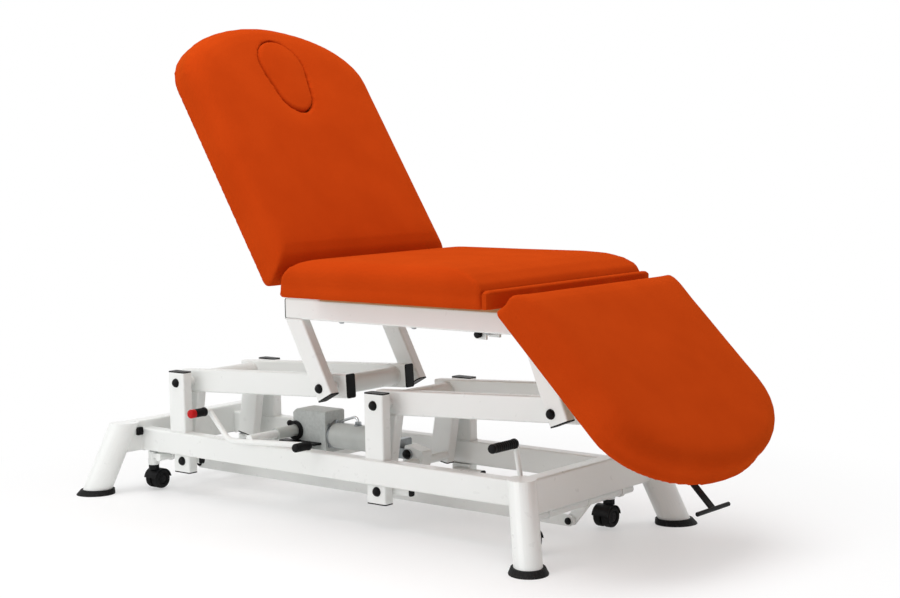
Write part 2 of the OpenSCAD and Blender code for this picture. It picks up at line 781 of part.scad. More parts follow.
// Jack rod and its clevis
pin_x = post_foot_x - drive_r * sin(drive_lean);
pin_z = pivot_z - drive_r * cos(drive_lean);
clevis_back = 48;
clevis_deep = 27;
clevis_over = 14;
fork_r = 12.5;
fork_t = 7;
rod_in = 160;
piston_len = 20;
module jack_rod() {
    color(chrome) at_frame() {
        x_rod(pin_x - clevis_back - rod_in, pin_x - clevis_back, 0, jack_z, rod_r);
        x_rod(pin_x - clevis_back - rod_in, pin_x - clevis_back - rod_in + piston_len, 0, jack_z,
            jack_r - jack_wall - run_gap);
    }
}

module rod_clevis() {
    fork_y = block_half_w + pass_gap;
    color("#8f9396") at_frame() {
        translate([pin_x - clevis_back, 0, (pin_z + jack_z) / 2]) yz_plate(0, clevis_back - clevis_deep)
            round_rect(2 * (fork_y + fork_t), jack_z - pin_z + 2 * clevis_over, corner_r);
        both_sides() xz_plate(fork_y, fork_y + fork_t)
            link_2d([pin_x - clevis_deep - fork_r, pin_z], [pin_x, pin_z], fork_r);
        y_rod(pin_x, pin_z, -fork_y - fork_t, fork_y + fork_t, drive_pin_r);
        both_sides() dome(pin_x, pin_z, fork_y + fork_t, dome_r, dome_h);
    }
}

// Seat

seat_y = post_y0 + bar_w / 2;
head_leg_off = 5.3;
foot_leg_off = 12;
blank_share = 1.5;
leg_blank = blank_share * (seat_z - seat_pivot_z);
bush_wall = 4.7;
bush_r = bolt_r + bush_wall;
foot_leg_top = seat_z + seat_rail_h / 2;

module seat_rails() {
    color(white) at_frame() both_sides() difference() {
        x_tube(seat_x0, seat_foot_x, seat_y, seat_z + seat_rail_h / 2, bar_w, seat_rail_h);
        translate([seat_foot_x, 0, seat_pivot_z]) rotate([0, -foot_leg_lean, 0])
            box(foot_leg_off - seat_leg_w / 2, 3 * seat_leg_w, post_y0 - over, post_y1 + over, 0, 2 * leg_blank);
    }
}

seat_tube_w = 50;
foot_tube_w = 45;
foot_tube_x = 612.5;
module seat_cross_tubes() {
    color(white) at_frame() {
        y_tube(-post_y0, post_y0, seat_x0 + seat_tube_w / 2, seat_z + seat_tube_h / 2, seat_tube_w, seat_tube_h);
        y_tube(-leaf_y0, leaf_y0, foot_tube_x, seat_z + seat_rail_h / 2, foot_tube_w, seat_rail_h);
    }
}

module seat_legs(px, lean, off, top) {
    color(white) at_frame() both_sides() intersection() {
        translate([px, 0, seat_pivot_z]) rotate([0, -lean, 0]) difference() {
            union() {
                z_tube(cap_t - seat_leg_under, leg_blank, off, seat_y, seat_leg_w, bar_w);
                y_rod(0, 0, bar_y1 + pass_gap, post_y1, bush_r);
            }
            y_rod(0, 0, bar_y1, post_y1 + over, bolt_hole_r);
        }
        box(px - lever_len / 2, px + lever_len / 2, 0, frame_w, pivot_z - 2 * seat_leg_under, top);
    }
}
module seat_legs_head() { seat_legs(seat_head_x, head_leg_lean, head_leg_off, seat_z); }
module seat_legs_foot() { seat_legs(seat_foot_x, foot_leg_lean, foot_leg_off, foot_leg_top); }

module seat_leg_caps() {
    color(black) at_frame() both_sides() {
        translate([seat_head_x, 0, seat_pivot_z]) rotate([0, -head_leg_lean, 0])
            flat_cap(head_leg_off, seat_y, -seat_leg_under, seat_leg_w, bar_w);
        translate([seat_foot_x, 0, seat_pivot_z]) rotate([0, -foot_leg_lean, 0])
            flat_cap(foot_leg_off, seat_y, -seat_leg_under, seat_leg_w, bar_w);
        translate([0, seat_y, seat_z + seat_rail_h / 2])
            yz_plate(seat_x0 - cap_t, seat_x0) round_rect(bar_w, seat_rail_h, corner_r);
    }
}

module seat_bolts() {
    color(black) at_frame() both_sides() for (x = [seat_head_x, seat_foot_x]) pivot_bolt(x, seat_pivot_z);
}

board_corner = 20;
module seat_board() {
    color(birch) at_frame() translate([(seat_board_x0 + seat_board_x1) / 2, 0, seat_rail_top])
        linear_extrude(board_t) round_rect(seat_board_len, seat_board_w, board_corner);
}

pad_corner = 13;
seat_round_head = [70, 70];
seat_round_foot = [140, 48];
module seat_cushion() {
    color(orange) at_frame() pad(seat_pad_x0, seat_pad_x1, pad_w / 2, [pad_corner, pad_corner],
        [pad_corner, pad_corner], seat_round_head, seat_round_foot, pad_z, seat_pad_t);
}

// Hinge plates on the seat rails, and the guides of the release rod
leaf_half = 30;
leaf_up = 6;
leaf_neck_r = 4.5;
leaf_neck_dx = 22;
leaf_neck_dz = 41.5;
leaf_plate_w = 44;
release_x = 486;
release_z = 488;
release_r = 6;
guide_half = 16;
guide_under = 12;
guide_y = 94;
module release_guide(y) {
    difference() {
        box(release_x - guide_half, release_x + guide_half, y, y + plate_t,
            release_z - guide_under, seat_rail_top);
        y_rod(release_x, release_z, y - over, y + plate_t + over, release_r + run_gap);
    }
}
module seat_brackets() {
    color(white) at_frame() {
        both_sides() {
            xz_plate(leaf_y0, leaf_y1) {
                link_2d([back_hinge_x, hinge_z], [back_hinge_x, seat_rail_top - eye_r], eye_r);
                translate([back_hinge_x - leaf_half, seat_z + leaf_up])
                    square([2 * leaf_half, seat_rail_h - leaf_up]);
            }
            xz_plate(leaf_y0, leaf_y1) {
                translate([leg_hinge_x, hinge_z]) circle(r = eye_r);
                link_2d([leg_hinge_x, hinge_z], [leg_hinge_x - leaf_neck_dx, hinge_z - leaf_neck_dz], leaf_neck_r);
                translate([leg_hinge_x - leaf_neck_dx + leaf_neck_r - leaf_plate_w, seat_z + leaf_up])
                    square([leaf_plate_w, seat_rail_h - leaf_up]);
            }
            for (x = [back_hinge_x, leg_hinge_x]) y_rod(x, hinge_z, arm_y0, leaf_y0 + over, hinge_pin_r);
        }
        release_guide(-leaf_y1);
        release_guide(-guide_y - plate_t);
    }
}

tip_len = 8;
tip_back = 4;
tip_r = 7;
stop_r = 9;
stop_len = 4;
release_in = 76;
module release_lever() {
    color(chrome) at_frame() {
        y_rod(release_x, release_z, -leaf_y1 - tip_back, -release_in, release_r);
        y_rod(release_x, release_z, -leaf_y1 - tip_back - tip_len, -leaf_y1 - tip_back, tip_r);
        y_rod(release_x, release_z, -release_in - stop_len, -release_in, stop_r);
    }
}

// Back section, drawn flat from its hinge towards the head and then raised

module back_frame() {
    translate([back_hinge_x, 0, hinge_z]) rotate([0, back_angle, 0]) rotate([0, 0, 180]) children();
}
back_end = hinge_gap + back_pad_len;
board_start = 40;
board_in = 45;
soft_gap = 0.3;
hole_steps = 12;
hole_room = 20;
hole_top = back_pad_t + hole_room;
module face_hole(shrink, z0, z1) {
    translate([hole_from_hinge, 0, z0]) linear_extrude(z1 - z0)
        polygon(egg(hole_r_narrow - shrink, hole_r_wide - shrink, hole_span, hole_steps));
}
hole_ledge = 12;
module back_board() {
    color(birch) at_frame() back_frame() difference() {
        translate([0, 0, wing_n]) linear_extrude(wing_board_t)
            polygon([for (p = pad_outline(board_start, back_end - board_in, board_w / 2,
                [board_corner, board_corner], [back_arch - board_in, board_w / 2])) [p[0], p[1]]]);
        face_hole(hole_ledge, wing_n - over, pad_n + over);
    }
}

back_round_low = [72, 72];
back_round_end = [58, 58];
module back_cushion() {
    color(orange) at_frame() back_frame() difference() {
        pad(hinge_gap, back_end, pad_w / 2, [pad_corner, pad_corner], [back_arch, pad_w / 2],
            back_round_low, back_round_end, pad_n, back_pad_t);
        face_hole(0, pad_n - over, pad_n + hole_top);
    }
}

plug_gap = 0.6;
plug_round = 9;
plug_rise = 4;
plug_shares = [0.7, 0.4, 0.15];
module face_plug() {
    z1 = pad_n + back_pad_t + plug_rise;
    function ring(shrink, z) = [for (q = egg(hole_r_narrow - shrink, hole_r_wide - shrink, hole_span, hole_steps))
        [hole_from_hinge + q[0], q[1], z]];
    color(orange) at_frame() back_frame()
        loft(concat(
            [ring(plug_gap, pad_n + soft_gap), ring(plug_gap, z1 - plug_round)],
            [for (a = [30, 60, 90]) ring(plug_gap + plug_round * (1 - cos(a)), z1 - plug_round * (1 - sin(a)))],
            [for (s = plug_shares) ring(plug_round + (hole_r_narrow - plug_round) * (1 - s),
                z1 + crown * (1 - s) / 2)]),
            [hole_from_hinge + hole_span / 2, 0, pad_n + soft_gap],
            [hole_from_hinge + hole_span / 2, 0, z1 + crown / 2]);
}

// Plate arms that carry a section's board on its hinge
arm_len = 160;
arm_depth = 16;
arm_drop = 45;
module back_brackets() {
    color(white) at_frame() back_frame() both_sides() xz_plate(arm_y0, arm_y1) difference() {
        union() {
            link_2d([0, 0], [0, -arm_drop], eye_r);
            translate([0, -arm_drop - eye_r]) square([arm_len, arm_drop + eye_r + wing_n]);
        }
        circle(r = hinge_pin_r + run_gap);
    }
}

// Leg section, drawn flat from its hinge towards the foot and then dropped

module leg_frame() {
    translate([leg_hinge_x, 0, hinge_z]) rotate([0, leg_angle, 0]) children();
}
leg_end = hinge_gap + leg_pad_len;
leg_board_start = 60;
module leg_board() {
    color(birch) at_frame() leg_frame() translate([0, 0, wing_n]) linear_extrude(wing_board_t)
        polygon([for (p = pad_outline(leg_board_start, leg_end - board_in, board_w / 2,
            [board_corner, board_corner], [leg_arch - board_in, board_w / 2])) [p[0], p[1]]]);
}

leg_round_near = [64, 26];
module leg_cushion() {
    color(orange) at_frame() leg_frame() pad(hinge_gap, leg_end, pad_w / 2, [pad_corner, pad_corner],
        [leg_arch, pad_w / 2], leg_round_near, leg_round_end, pad_n, leg_pad_t);
}

// The neck of the leg section's arm keeps clear of the seat cushion's corner
neck_v = 9;
neck_n = -30;
neck_r = 5;
pull_n = -78;
pull_w = 20;
pull_t = 5;
pull_gap = 0.3;
pull_v0 = 395;
pull_v1 = 566;
pull_cross_r = 5;
pull_cross_len = 130;
guide_vs = [425, 478];
guide_w = 40;
guide_over = 6;
module leg_brackets() {
    color(white) at_frame() leg_frame() {
        both_sides() xz_plate(arm_y0, arm_y1) difference() {
            union() {
                circle(r = eye_r);
                link_2d([0, 0], [neck_v, neck_n], neck_r);
                polygon([[neck_v, wing_n - over], [neck_v + 2 * arm_depth, wing_n - arm_depth],
                    [arm_len, wing_n - arm_depth], [arm_len, wing_n],
                    [leg_board_start - pass_gap, wing_n], [leg_board_start - pass_gap, pad_n - pass_gap],
                    [hinge_gap, pad_n - pass_gap], [neck_v, neck_n]]);
            }
            circle(r = hinge_pin_r + run_gap);
        }
        for (v = guide_vs) difference() {
            box(v, v + plate_t, -guide_w / 2, guide_w / 2, pull_n - pull_t / 2 - guide_over, wing_n);
            box(v - over, v + plate_t + over, -pull_w / 2 - pull_gap, pull_w / 2 + pull_gap,
                pull_n - pull_t / 2 - pull_gap, pull_n + pull_t / 2 + pull_gap);
        }
    }
}

module pull_handle() {
    color(black) at_frame() leg_frame() {
        box(pull_v0, pull_v1, -pull_w / 2, pull_w / 2, pull_n - pull_t / 2, pull_n + pull_t / 2);
        y_rod(pull_v1 + pull_cross_r / 2, pull_n, -pull_cross_len / 2, pull_cross_len / 2, pull_cross_r);
    }
}

// Pedal

hub_y1 = 112;
module pedal_hub() {
    color("#d8d9da") at_frame() {
        y_rod(hub_x, hub_z, -hub_y1, -pump_w / 2 - pass_gap, hub_r);
        y_rod(hub_x, hub_z, -pump_w / 2 - over, shaft_in - pump_w / 2, shaft_r);
    }
}

pedal_r = pedal_d / 2;
pedal_a = [hub_x - 144, hub_z + 60];
pedal_b = [hub_x - 73, hub_z - 11];
pedal_c = [hub_x + 210, hub_z + 6];
pedal_bend = 40;
stub_r = 11;
grip_stub = 15;
grip_in = 25;
grip_stub_r = pedal_r + pass_gap;
module pedal_form() {
    bent_tube(-pedal_y, pedal_a, pedal_b, pedal_c, pedal_bend, pedal_r);
}
module pedal_tube() {
    color(white) at_frame() {
        pedal_form();
        y_rod(hub_x, hub_z, -pedal_y, -hub_y1, stub_r);
        grip_rod(grip_stub_r, grip_in);
    }
}
// Round rod out from the head end of the pedal tube, to a distance past its grip's inner end
module grip_rod(r, past) {
    y_rod(pedal_a[0], pedal_a[1], -pedal_y - grip_stub - past, -pedal_y, r);
}

grip_r = grip_d / 2;
module pedal_grips() {
    color(black) at_frame() difference() {
        union() {
            y_rod(pedal_a[0], pedal_a[1], -pedal_y - grip_stub - pedal_grip_len, -pedal_y - grip_stub, grip_r);
            y_rod(pedal_c[0], pedal_c[1], -pedal_y - pedal_grip_len, -pedal_y + pedal_r, grip_r);
        }
        pedal_form();
        grip_rod(grip_stub_r, grip_in);
        box(pedal_c[0] - grip_d, pedal_c[0] + grip_d, -pedal_y, over - pedal_y + pedal_r,
            pedal_c[1] - grip_d, pedal_c[1] + grip_d);
    }
}

// Caster lift

crank_dx = 40;
crank_dz = 48;
crank_r = 13;
crank_t = 8;
link_t = 8;
crank_y0 = link_t / 2 + pass_gap;
link_pin_r = 5;
arm_w = 24;
arm_h = 12;
socket_r = 14;
socket_half = 10;
stem_r = 5.5;
lever_y = 197;
lever_r = 6;
module axle(px, y0, y1) {
    difference() {
        union() {
            y_rod(px, axle_z, y0, y1, axle_r);
            both_sides() {
                box(px - caster_arm, px, stem_y - arm_w / 2, stem_y + arm_w / 2, axle_z - arm_h / 2,
                    axle_z + arm_h / 2);
                z_rod(px - caster_arm, stem_y, axle_z - socket_half, axle_z + socket_half, socket_r);
            }
            xz_plate(crank_y0, crank_y0 + crank_t)
                link_2d([px, axle_z], [px - crank_dx, axle_z - crank_dz], crank_r);
        }
        both_sides() z_rod(px - caster_arm, stem_y, axle_z - 2 * socket_half, axle_z + 2 * socket_half,
            stem_r + run_gap);
    }
    y_rod(px - crank_dx, axle_z - crank_dz, -crank_y0 - over, crank_y0 + over, link_pin_r);
    mirror([0, 1, 0]) y_rod(px - crank_dx, axle_z - crank_dz, crank_y0, crank_y0 + wall, link_pin_r + wall);
}
axle_end = stem_y + arm_w;
module foot_axle() { color(white) at_frame() axle(axle_foot_x, lever_boss_in - lever_y, axle_end); }
module head_axle() { color(white) at_frame() axle(axle_head_x, -axle_end, axle_end); }

module link_bar() {
    color(white) at_frame() xz_plate(-link_t / 2, link_t / 2) difference() {
        link_2d([axle_head_x - crank_dx, axle_z - crank_dz], [axle_foot_x - crank_dx, axle_z - crank_dz],
            link_h / 2);
        for (x = [axle_head_x, axle_foot_x])
            translate([x - crank_dx, axle_z - crank_dz]) circle(r = link_pin_r + run_gap);
    }
}

lever_out = 17;
lever_top_out = 45;
lever_bend = 12;
lever_boss_r = 12;
lever_boss_in = 11;
module wheel_lever_form() {
    y_rod(axle_foot_x, axle_z, -lever_y - lever_r - wall, lever_boss_in - lever_y, lever_boss_r);
    bent_tube(-lever_y, [axle_foot_x, axle_z], [axle_foot_x - lever_out, axle_z + wall],
        [axle_foot_x - lever_top_out, wheel_lever_z], lever_bend, lever_r);
}
module wheel_lever() { color(white) at_frame() wheel_lever_form(); }
module wheel_lever_grip() {
    color(black) at_frame() difference() {
        y_rod(axle_foot_x - lever_top_out, wheel_lever_z, -lever_y - grip_len, -lever_y + lever_r, grip_r);
        wheel_lever_form();
        box(axle_foot_x - 2 * lever_top_out, axle_foot_x, -lever_y, 2 * lever_r - lever_y,
            wheel_lever_z - grip_d, wheel_lever_z + grip_d);
    }
}

wheel_r = wheel_d / 2;
wheel_z = wheel_lift + wheel_r;
web_half = 3;
wheel_gap = 0.6;
hood_gap = 1.5;
hood_t = 2;
pin_r = 4;
hub_web_r = 12;
hood_r = wheel_r + hood_gap + hood_t;
collar_gap = 0.5;
rim_in = 9;
rim_deep = 4;
rim_round = 3;
swivel = 90;
// Caster at a corner, turned inward: px is its axle's place and side is -1 for the near one
module at_caster(px, side) {
    translate([px - caster_arm, side * stem_y, 0]) rotate([0, 0, side * swivel]) children();
}
module caster_yoke(px, side) {
    color("#3a3b3d") at_frame() at_caster(px, side) difference() {
        union() {
            z_rod(0, 0, wheel_z + wheel_r + hood_gap, axle_z - socket_half - collar_gap, socket_r);
            z_rod(0, 0, wheel_z + wheel_r + hood_gap, axle_z + socket_half - collar_gap, stem_r);
            intersection() {
                union() {
                    difference() {
                        y_rod(-trail, wheel_z, -wheel_pair_w / 2, wheel_pair_w / 2, hood_r);
                        y_rod(-trail, wheel_z, -wheel_pair_w, wheel_pair_w, hood_r - hood_t);
                    }
                    y_rod(-trail, wheel_z, -web_half, web_half, hood_r);
                }
                box(-2 * hood_r, hood_r, -wheel_pair_w, wheel_pair_w, wheel_z + pin_r, 2 * wheel_z + hood_r);
            }
            y_rod(-trail, wheel_z, -web_half, web_half, hub_web_r);
        }
        y_rod(-trail, wheel_z, -wheel_pair_w, wheel_pair_w, pin_r + run_gap);
    }
}
module caster_wheels(px, side) {
    color(black) at_frame() at_caster(px, side) {
        translate([-trail, 0, wheel_z]) both_sides() rotate([-90, 0, 0]) rotate_extrude()
            polygon([[0, web_half + wheel_gap], [wheel_r, web_half + wheel_gap],
                [wheel_r, wheel_pair_w / 2 - rim_round], [wheel_r - rim_round, wheel_pair_w / 2],
                [wheel_r - rim_in, wheel_pair_w / 2], [wheel_r - rim_in - rim_round, wheel_pair_w / 2 - rim_deep],
                [0, wheel_pair_w / 2 - rim_deep]]);
        y_rod(-trail, wheel_z, -web_half - over, web_half + over, pin_r);
    }
}
module caster_yoke_1() { caster_yoke(axle_foot_x, -1); }
module caster_yoke_2() { caster_yoke(axle_foot_x, 1); }
module caster_yoke_3() { caster_yoke(axle_head_x, -1); }
module caster_yoke_4() { caster_yoke(axle_head_x, 1); }
module caster_wheels_1() { caster_wheels(axle_foot_x, -1); }
module caster_wheels_2() { caster_wheels(axle_foot_x, 1); }
module caster_wheels_3() { caster_wheels(axle_head_x, -1); }
module caster_wheels_4() { caster_wheels(axle_head_x, 1); }

side_rail_near();
side_rail_far();
cross_rail_head();
cross_rail_foot();
pump_beam();
frame_legs();
rubber_feet();
posts();
frame_caps();
rail_lugs();
frame_bolts();
pump_housing();
pump_valve();
jack_cylinder();
oil_pipe();
head_bars();
head_crank_posts();
head_cross_tubes();
head_lever_caps();
foot_bars();
foot_crank_posts();
foot_cross_tubes();
drive_block();
foot_lever_caps();
seat_rails();
seat_cross_tubes();
seat_legs_head();
seat_legs_foot();
seat_leg_caps();
seat_bolts();
seat_board();
seat_cushion();
seat_brackets();
back_board();
back_cushion();
back_brackets();
face_plug();
leg_board();
leg_cushion();
leg_brackets();
pull_handle();
release_lever();
jack_rod();
rod_clevis();
pedal_hub();
pedal_tube();
pedal_grips();
foot_axle();
wheel_lever();
wheel_lever_grip();
head_axle();
link_bar();
caster_yoke_1();
caster_yoke_2();
caster_yoke_3();
caster_yoke_4();
caster_wheels_1();
caster_wheels_2();
caster_wheels_3();
caster_wheels_4();
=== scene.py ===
import math

import bmesh
import bpy
import numpy as np
from mathutils import Matrix, Vector


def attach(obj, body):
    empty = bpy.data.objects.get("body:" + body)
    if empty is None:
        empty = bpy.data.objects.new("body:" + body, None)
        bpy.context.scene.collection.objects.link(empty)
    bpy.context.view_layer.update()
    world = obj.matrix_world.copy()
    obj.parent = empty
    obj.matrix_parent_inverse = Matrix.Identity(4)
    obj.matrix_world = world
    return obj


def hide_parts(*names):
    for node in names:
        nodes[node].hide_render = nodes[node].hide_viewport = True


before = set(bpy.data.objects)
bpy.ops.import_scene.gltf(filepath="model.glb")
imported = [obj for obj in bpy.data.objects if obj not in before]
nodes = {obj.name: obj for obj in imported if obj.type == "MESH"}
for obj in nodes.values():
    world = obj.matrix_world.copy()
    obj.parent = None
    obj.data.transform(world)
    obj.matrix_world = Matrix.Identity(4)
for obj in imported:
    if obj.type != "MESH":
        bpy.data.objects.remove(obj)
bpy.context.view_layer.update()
scene = bpy.context.scene

# Places are written in millimetres from the middle of the base frame, as the part is drawn.
# The posts stand at POSTS there, which shows where that middle lies in the row's own frame.
POSTS = (-521, 179)
post_xs = [(nodes["posts"].matrix_world @ Vector(corner)).x for corner in nodes["posts"].bound_box]
MID_X = sum(POSTS) / 2 - (min(post_xs) + max(post_xs)) / 2 * 1000
BACK_TILT = math.radians(58.5)
LEG_DROP = math.radians(45)


def at(x, y, z):
    return Vector(((x - MID_X) / 1000, y / 1000, z / 1000))


# Camera
eye = Vector((2.7408, -3.164, 0.930))
look = Vector((-0.0819, 0.2484, 0.5156))
roll = math.radians(-0.979)
ahead = (look - eye).normalized()
right = ahead.cross(Vector((0, 0, 1))).normalized()
above = right.cross(ahead)
cam_x = right * math.cos(roll) + above * math.sin(roll)
cam_y = above * math.cos(roll) - right * math.sin(roll)
camera = bpy.data.objects.new("camera", bpy.data.cameras.new("camera"))
camera.data.lens = 68.4
camera.data.sensor_width = 36
camera.data.sensor_fit = "HORIZONTAL"
camera.matrix_world = Matrix((
    (cam_x.x, cam_y.x, -ahead.x, eye.x),
    (cam_x.y, cam_y.y, -ahead.y, eye.y),
    (cam_x.z, cam_y.z, -ahead.z, eye.z),
    (0, 0, 0, 1)))
scene.collection.objects.link(camera)
scene.camera = camera
scene.view_settings.view_transform = "Standard"


# Materials
def linear(hex_colour):
    out = []
    for i in (0, 2, 4):
        c = int(hex_colour[i:i + 2], 16) / 255
        out.append(c / 12.92 if c <= 0.04045 else ((c + 0.055) / 1.055) ** 2.4)
    return (*out, 1.0)


class Paint:
    """A node material on the principled shader, with helpers for its colour, roughness and bump."""

    def __init__(self, name, rough, metallic=0.0, sockets=()):
        self.mat = bpy.data.materials.new(name)
        self.mat.use_nodes = True
        self.tree = self.mat.node_tree
        self.shader = self.tree.nodes["Principled BSDF"]
        self.shader.inputs["Roughness"].default_value = rough
        self.shader.inputs["Metallic"].default_value = metallic
        for key, value in sockets:
            self.shader.inputs[key].default_value = value
        self.coords = self.tree.nodes.new("ShaderNodeTexCoord").outputs["Object"]

    def link(self, a, b):
        self.tree.links.new(a, b)

    def mapped(self, scale=(1, 1, 1), turn=(0, 0, 0)):
        m = self.tree.nodes.new("ShaderNodeMapping")
        m.inputs["Scale"].default_value = scale
        m.inputs["Rotation"].default_value = turn
        self.link(self.coords, m.inputs["Vector"])
        return m.outputs["Vector"]

    def noise(self, scale, detail, rough=0.5, vector=None):
        n = self.tree.nodes.new("ShaderNodeTexNoise")
        n.inputs["Scale"].default_value = scale
        n.inputs["Detail"].default_value = detail
        n.inputs["Roughness"].default_value = rough
        self.link(vector or self.coords, n.inputs["Vector"])
        return n.outputs["Fac"]

    def cells(self, scale, feature="F1"):
        v = self.tree.nodes.new("ShaderNodeTexVoronoi")
        v.feature = feature
        v.inputs["Scale"].default_value = scale
        self.link(self.coords, v.inputs["Vector"])
        return v.outputs["Distance"]

    def ramp(self, fac, low, high, start=0.0, end=1.0):
        r = self.tree.nodes.new("ShaderNodeMapRange")
        r.inputs["From Min"].default_value = start
        r.inputs["From Max"].default_value = end
        r.inputs["To Min"].default_value = low
        r.inputs["To Max"].default_value = high
        self.link(fac, r.inputs["Value"])
        return r.outputs["Result"]

    def mix(self, fac, a, b):
        m = self.tree.nodes.new("ShaderNodeMix")
        m.data_type = "RGBA"
        self.link(fac, m.inputs[0])
        for socket, value in ((m.inputs[6], a), (m.inputs[7], b)):
            if isinstance(value, tuple):
                socket.default_value = value
            else:
                self.link(value, socket)
        return m.outputs[2]

    def maths(self, operation, a, b):
        m = self.tree.nodes.new("ShaderNodeMath")
        m.operation = operation
        for socket, value in zip(m.inputs, (a, b)):
            if isinstance(value, (int, float)):
                socket.default_value = value
            else:
                self.link(value, socket)
        return m.outputs[0]

    def colour(self, out):
        self.link(out, self.shader.inputs["Base Color"])

    def roughness(self, out):
        self.link(out, self.shader.inputs["Roughness"])

    def bump(self, height, distance, strength=1.0):
        b = self.tree.nodes.new("ShaderNodeBump")
        b.inputs["Strength"].default_value = strength
        b.inputs["Distance"].default_value = distance
        self.link(height, b.inputs["Height"])
        self.link(b.outputs["Normal"], self.shader.inputs["Normal"])


def height_of(paint):
    s = paint.tree.nodes.new("ShaderNodeSeparateXYZ")
    paint.link(paint.coords, s.inputs[0])
    return s.outputs[2]


def powder_coat(name, base, dark):
    """White powder coat: faint orange peel, slightly uneven tone, a little dust near the floor."""
    p = Paint(name, 0.3, 0.0, (("Coat Weight", 0.25), ("Coat Roughness", 0.12)))
    tone = p.ramp(p.noise(7, 3), 0.0, 0.5, 0.3, 0.7)
    clean = p.mix(tone, linear(base), linear(dark))
    low = p.ramp(height_of(p), 0.25, 0.0, 0.0, 0.035)
    specks = p.ramp(p.noise(160, 6, 0.7), 0.0, 1.0, 0.6, 0.8)
    p.colour(p.mix(p.maths("MULTIPLY", low, specks), clean, linear("b9b6ae")))
    p.roughness(p.ramp(p.noise(40, 4), 0.27, 0.32, 0.3, 0.7))
    p.bump(p.maths("ADD", p.noise(420, 2), p.maths("MULTIPLY", p.noise(90, 2), 0.6)), 0.00008, 0.3)
    return p.mat


def leatherette(name, base, dark):
    """Smooth vinyl upholstery: a fine pebbled grain over a soft satin face, with painted shade darkening
    the grain's valleys.
    """
    p = Paint(name, 0.46, 0.0, (
        ("Specular IOR Level", 0.0),
        ("Sheen Weight", 0.22),
        ("Sheen Roughness", 0.45),
        ("Sheen Tint", (1.0, 0.22, 0.03, 1))))
    pebble = p.cells(950)
    crease = p.cells(420, "DISTANCE_TO_EDGE")
    cloud = p.noise(9, 4)
    tone = p.mix(p.ramp(cloud, 0.0, 1.0, 0.32, 0.68), linear(base), linear(dark))
    # Painted shade: the colour darkens towards 8e2d0a along the grain's cell edges, the valleys of the
    # bump, where shade would fall.
    painted_valley_shade = p.ramp(crease, 0.35, 0.0, 0.0, 0.06)
    p.colour(p.mix(painted_valley_shade, tone, linear("8e2d0a")))
    p.roughness(p.ramp(p.noise(60, 5), 0.40, 0.52, 0.3, 0.7))
    grain = p.maths("ADD", p.maths("MULTIPLY", pebble, 0.7), p.ramp(crease, 0.0, 0.5, 0.0, 0.2))
    grain = p.maths("ADD", grain, p.maths("MULTIPLY", p.noise(2200, 2), 0.25))
    p.bump(grain, 0.00016, 0.45)
    return p.mat


def moulded(name, base, light, rough=0.42, grain=1400):
    """Moulded plastic with a fine spark texture and rubbed, slightly shinier patches."""
    p = Paint(name, rough, 0.0, (("Specular IOR Level", 0.14),))
    p.colour(p.mix(p.ramp(p.noise(30, 5), 0.0, 0.7, 0.35, 0.75), linear(base), linear(light)))
    p.roughness(p.ramp(p.noise(55, 4), rough - 0.09, rough + 0.12, 0.3, 0.7))
    p.bump(p.maths("ADD", p.noise(grain, 2), p.maths("MULTIPLY", p.cells(700), 0.4)), 0.00012, 0.5)
    return p.mat


def rubber(name):
    """Matt black rubber with dust caught in its pores and near the floor."""
    p = Paint(name, 0.72, 0.0, (("Specular IOR Level", 0.16),))
    dust = p.ramp(p.noise(210, 6, 0.75), 0.0, 1.0, 0.5, 0.78)
    low = p.ramp(height_of(p), 0.55, 0.08, 0.0, 0.02)
    p.colour(p.mix(p.maths("MULTIPLY", dust, low), linear("101011"), linear("5b5954")))
    p.roughness(p.ramp(dust, 0.62, 0.85))
    p.bump(p.maths("ADD", p.noise(900, 3), p.cells(500)), 0.00018, 0.5)
    return p.mat


def metal(name, base, dark, rough, spread, stretch=(1, 1, 1), metallic=1.0):
    """Bare or plated metal with fine drawn lines and cloudy tone."""
    p = Paint(name, rough, metallic)
    lines = p.noise(260, 6, 0.7, p.mapped(stretch))
    p.colour(p.mix(p.ramp(p.noise(24, 4), 0.0, 1.0, 0.35, 0.7), linear(base), linear(dark)))
    p.roughness(p.ramp(lines, rough - spread, rough + spread, 0.25, 0.75))
    p.bump(lines, 0.00006, 0.35)
    return p.mat


def casting(name, base, dark):
    """Painted die casting: a fine sand texture with darker hollows."""
    p = Paint(name, 0.45, 0.0, (("Coat Weight", 0.1), ("Coat Roughness", 0.3)))
    coarse = p.noise(120, 5, 0.6)
    p.colour(p.mix(p.ramp(coarse, 0.0, 1.0, 0.35, 0.75), linear(base), linear(dark)))
    p.roughness(p.ramp(p.noise(70, 3), 0.38, 0.55, 0.3, 0.7))
    p.bump(p.maths("ADD", p.noise(650, 3), p.maths("MULTIPLY", coarse, 0.8)), 0.0003, 0.5)
    return p.mat


def plywood(name, turn):
    """Birch plywood: plies across the thickness and long grain on the faces. turn lays the plies level."""
    p = Paint(name, 0.6)
    lying = p.mapped(turn=(0, turn, 0))
    w = p.tree.nodes.new("ShaderNodeTexWave")
    w.bands_direction = "Z"
    w.inputs["Scale"].default_value = 115
    w.inputs["Distortion"].default_value = 0.8
    w.inputs["Detail"].default_value = 2
    p.link(lying, w.inputs["Vector"])
    stretched = p.tree.nodes.new("ShaderNodeMapping")
    stretched.inputs["Scale"].default_value = (4, 60, 60)
    p.link(lying, stretched.inputs["Vector"])
    grain = p.noise(1.6, 8, 0.65, stretched.outputs["Vector"])
    face = p.mix(p.ramp(grain, 0.0, 1.0, 0.3, 0.7), linear("c7a06c"), linear("a67b4a"))
    p.colour(p.mix(p.ramp(w.outputs["Fac"], 0.0, 0.45), face, linear("7b5530")))
    p.roughness(p.ramp(grain, 0.5, 0.72))
    p.bump(grain, 0.0003, 0.5)
    return p.mat


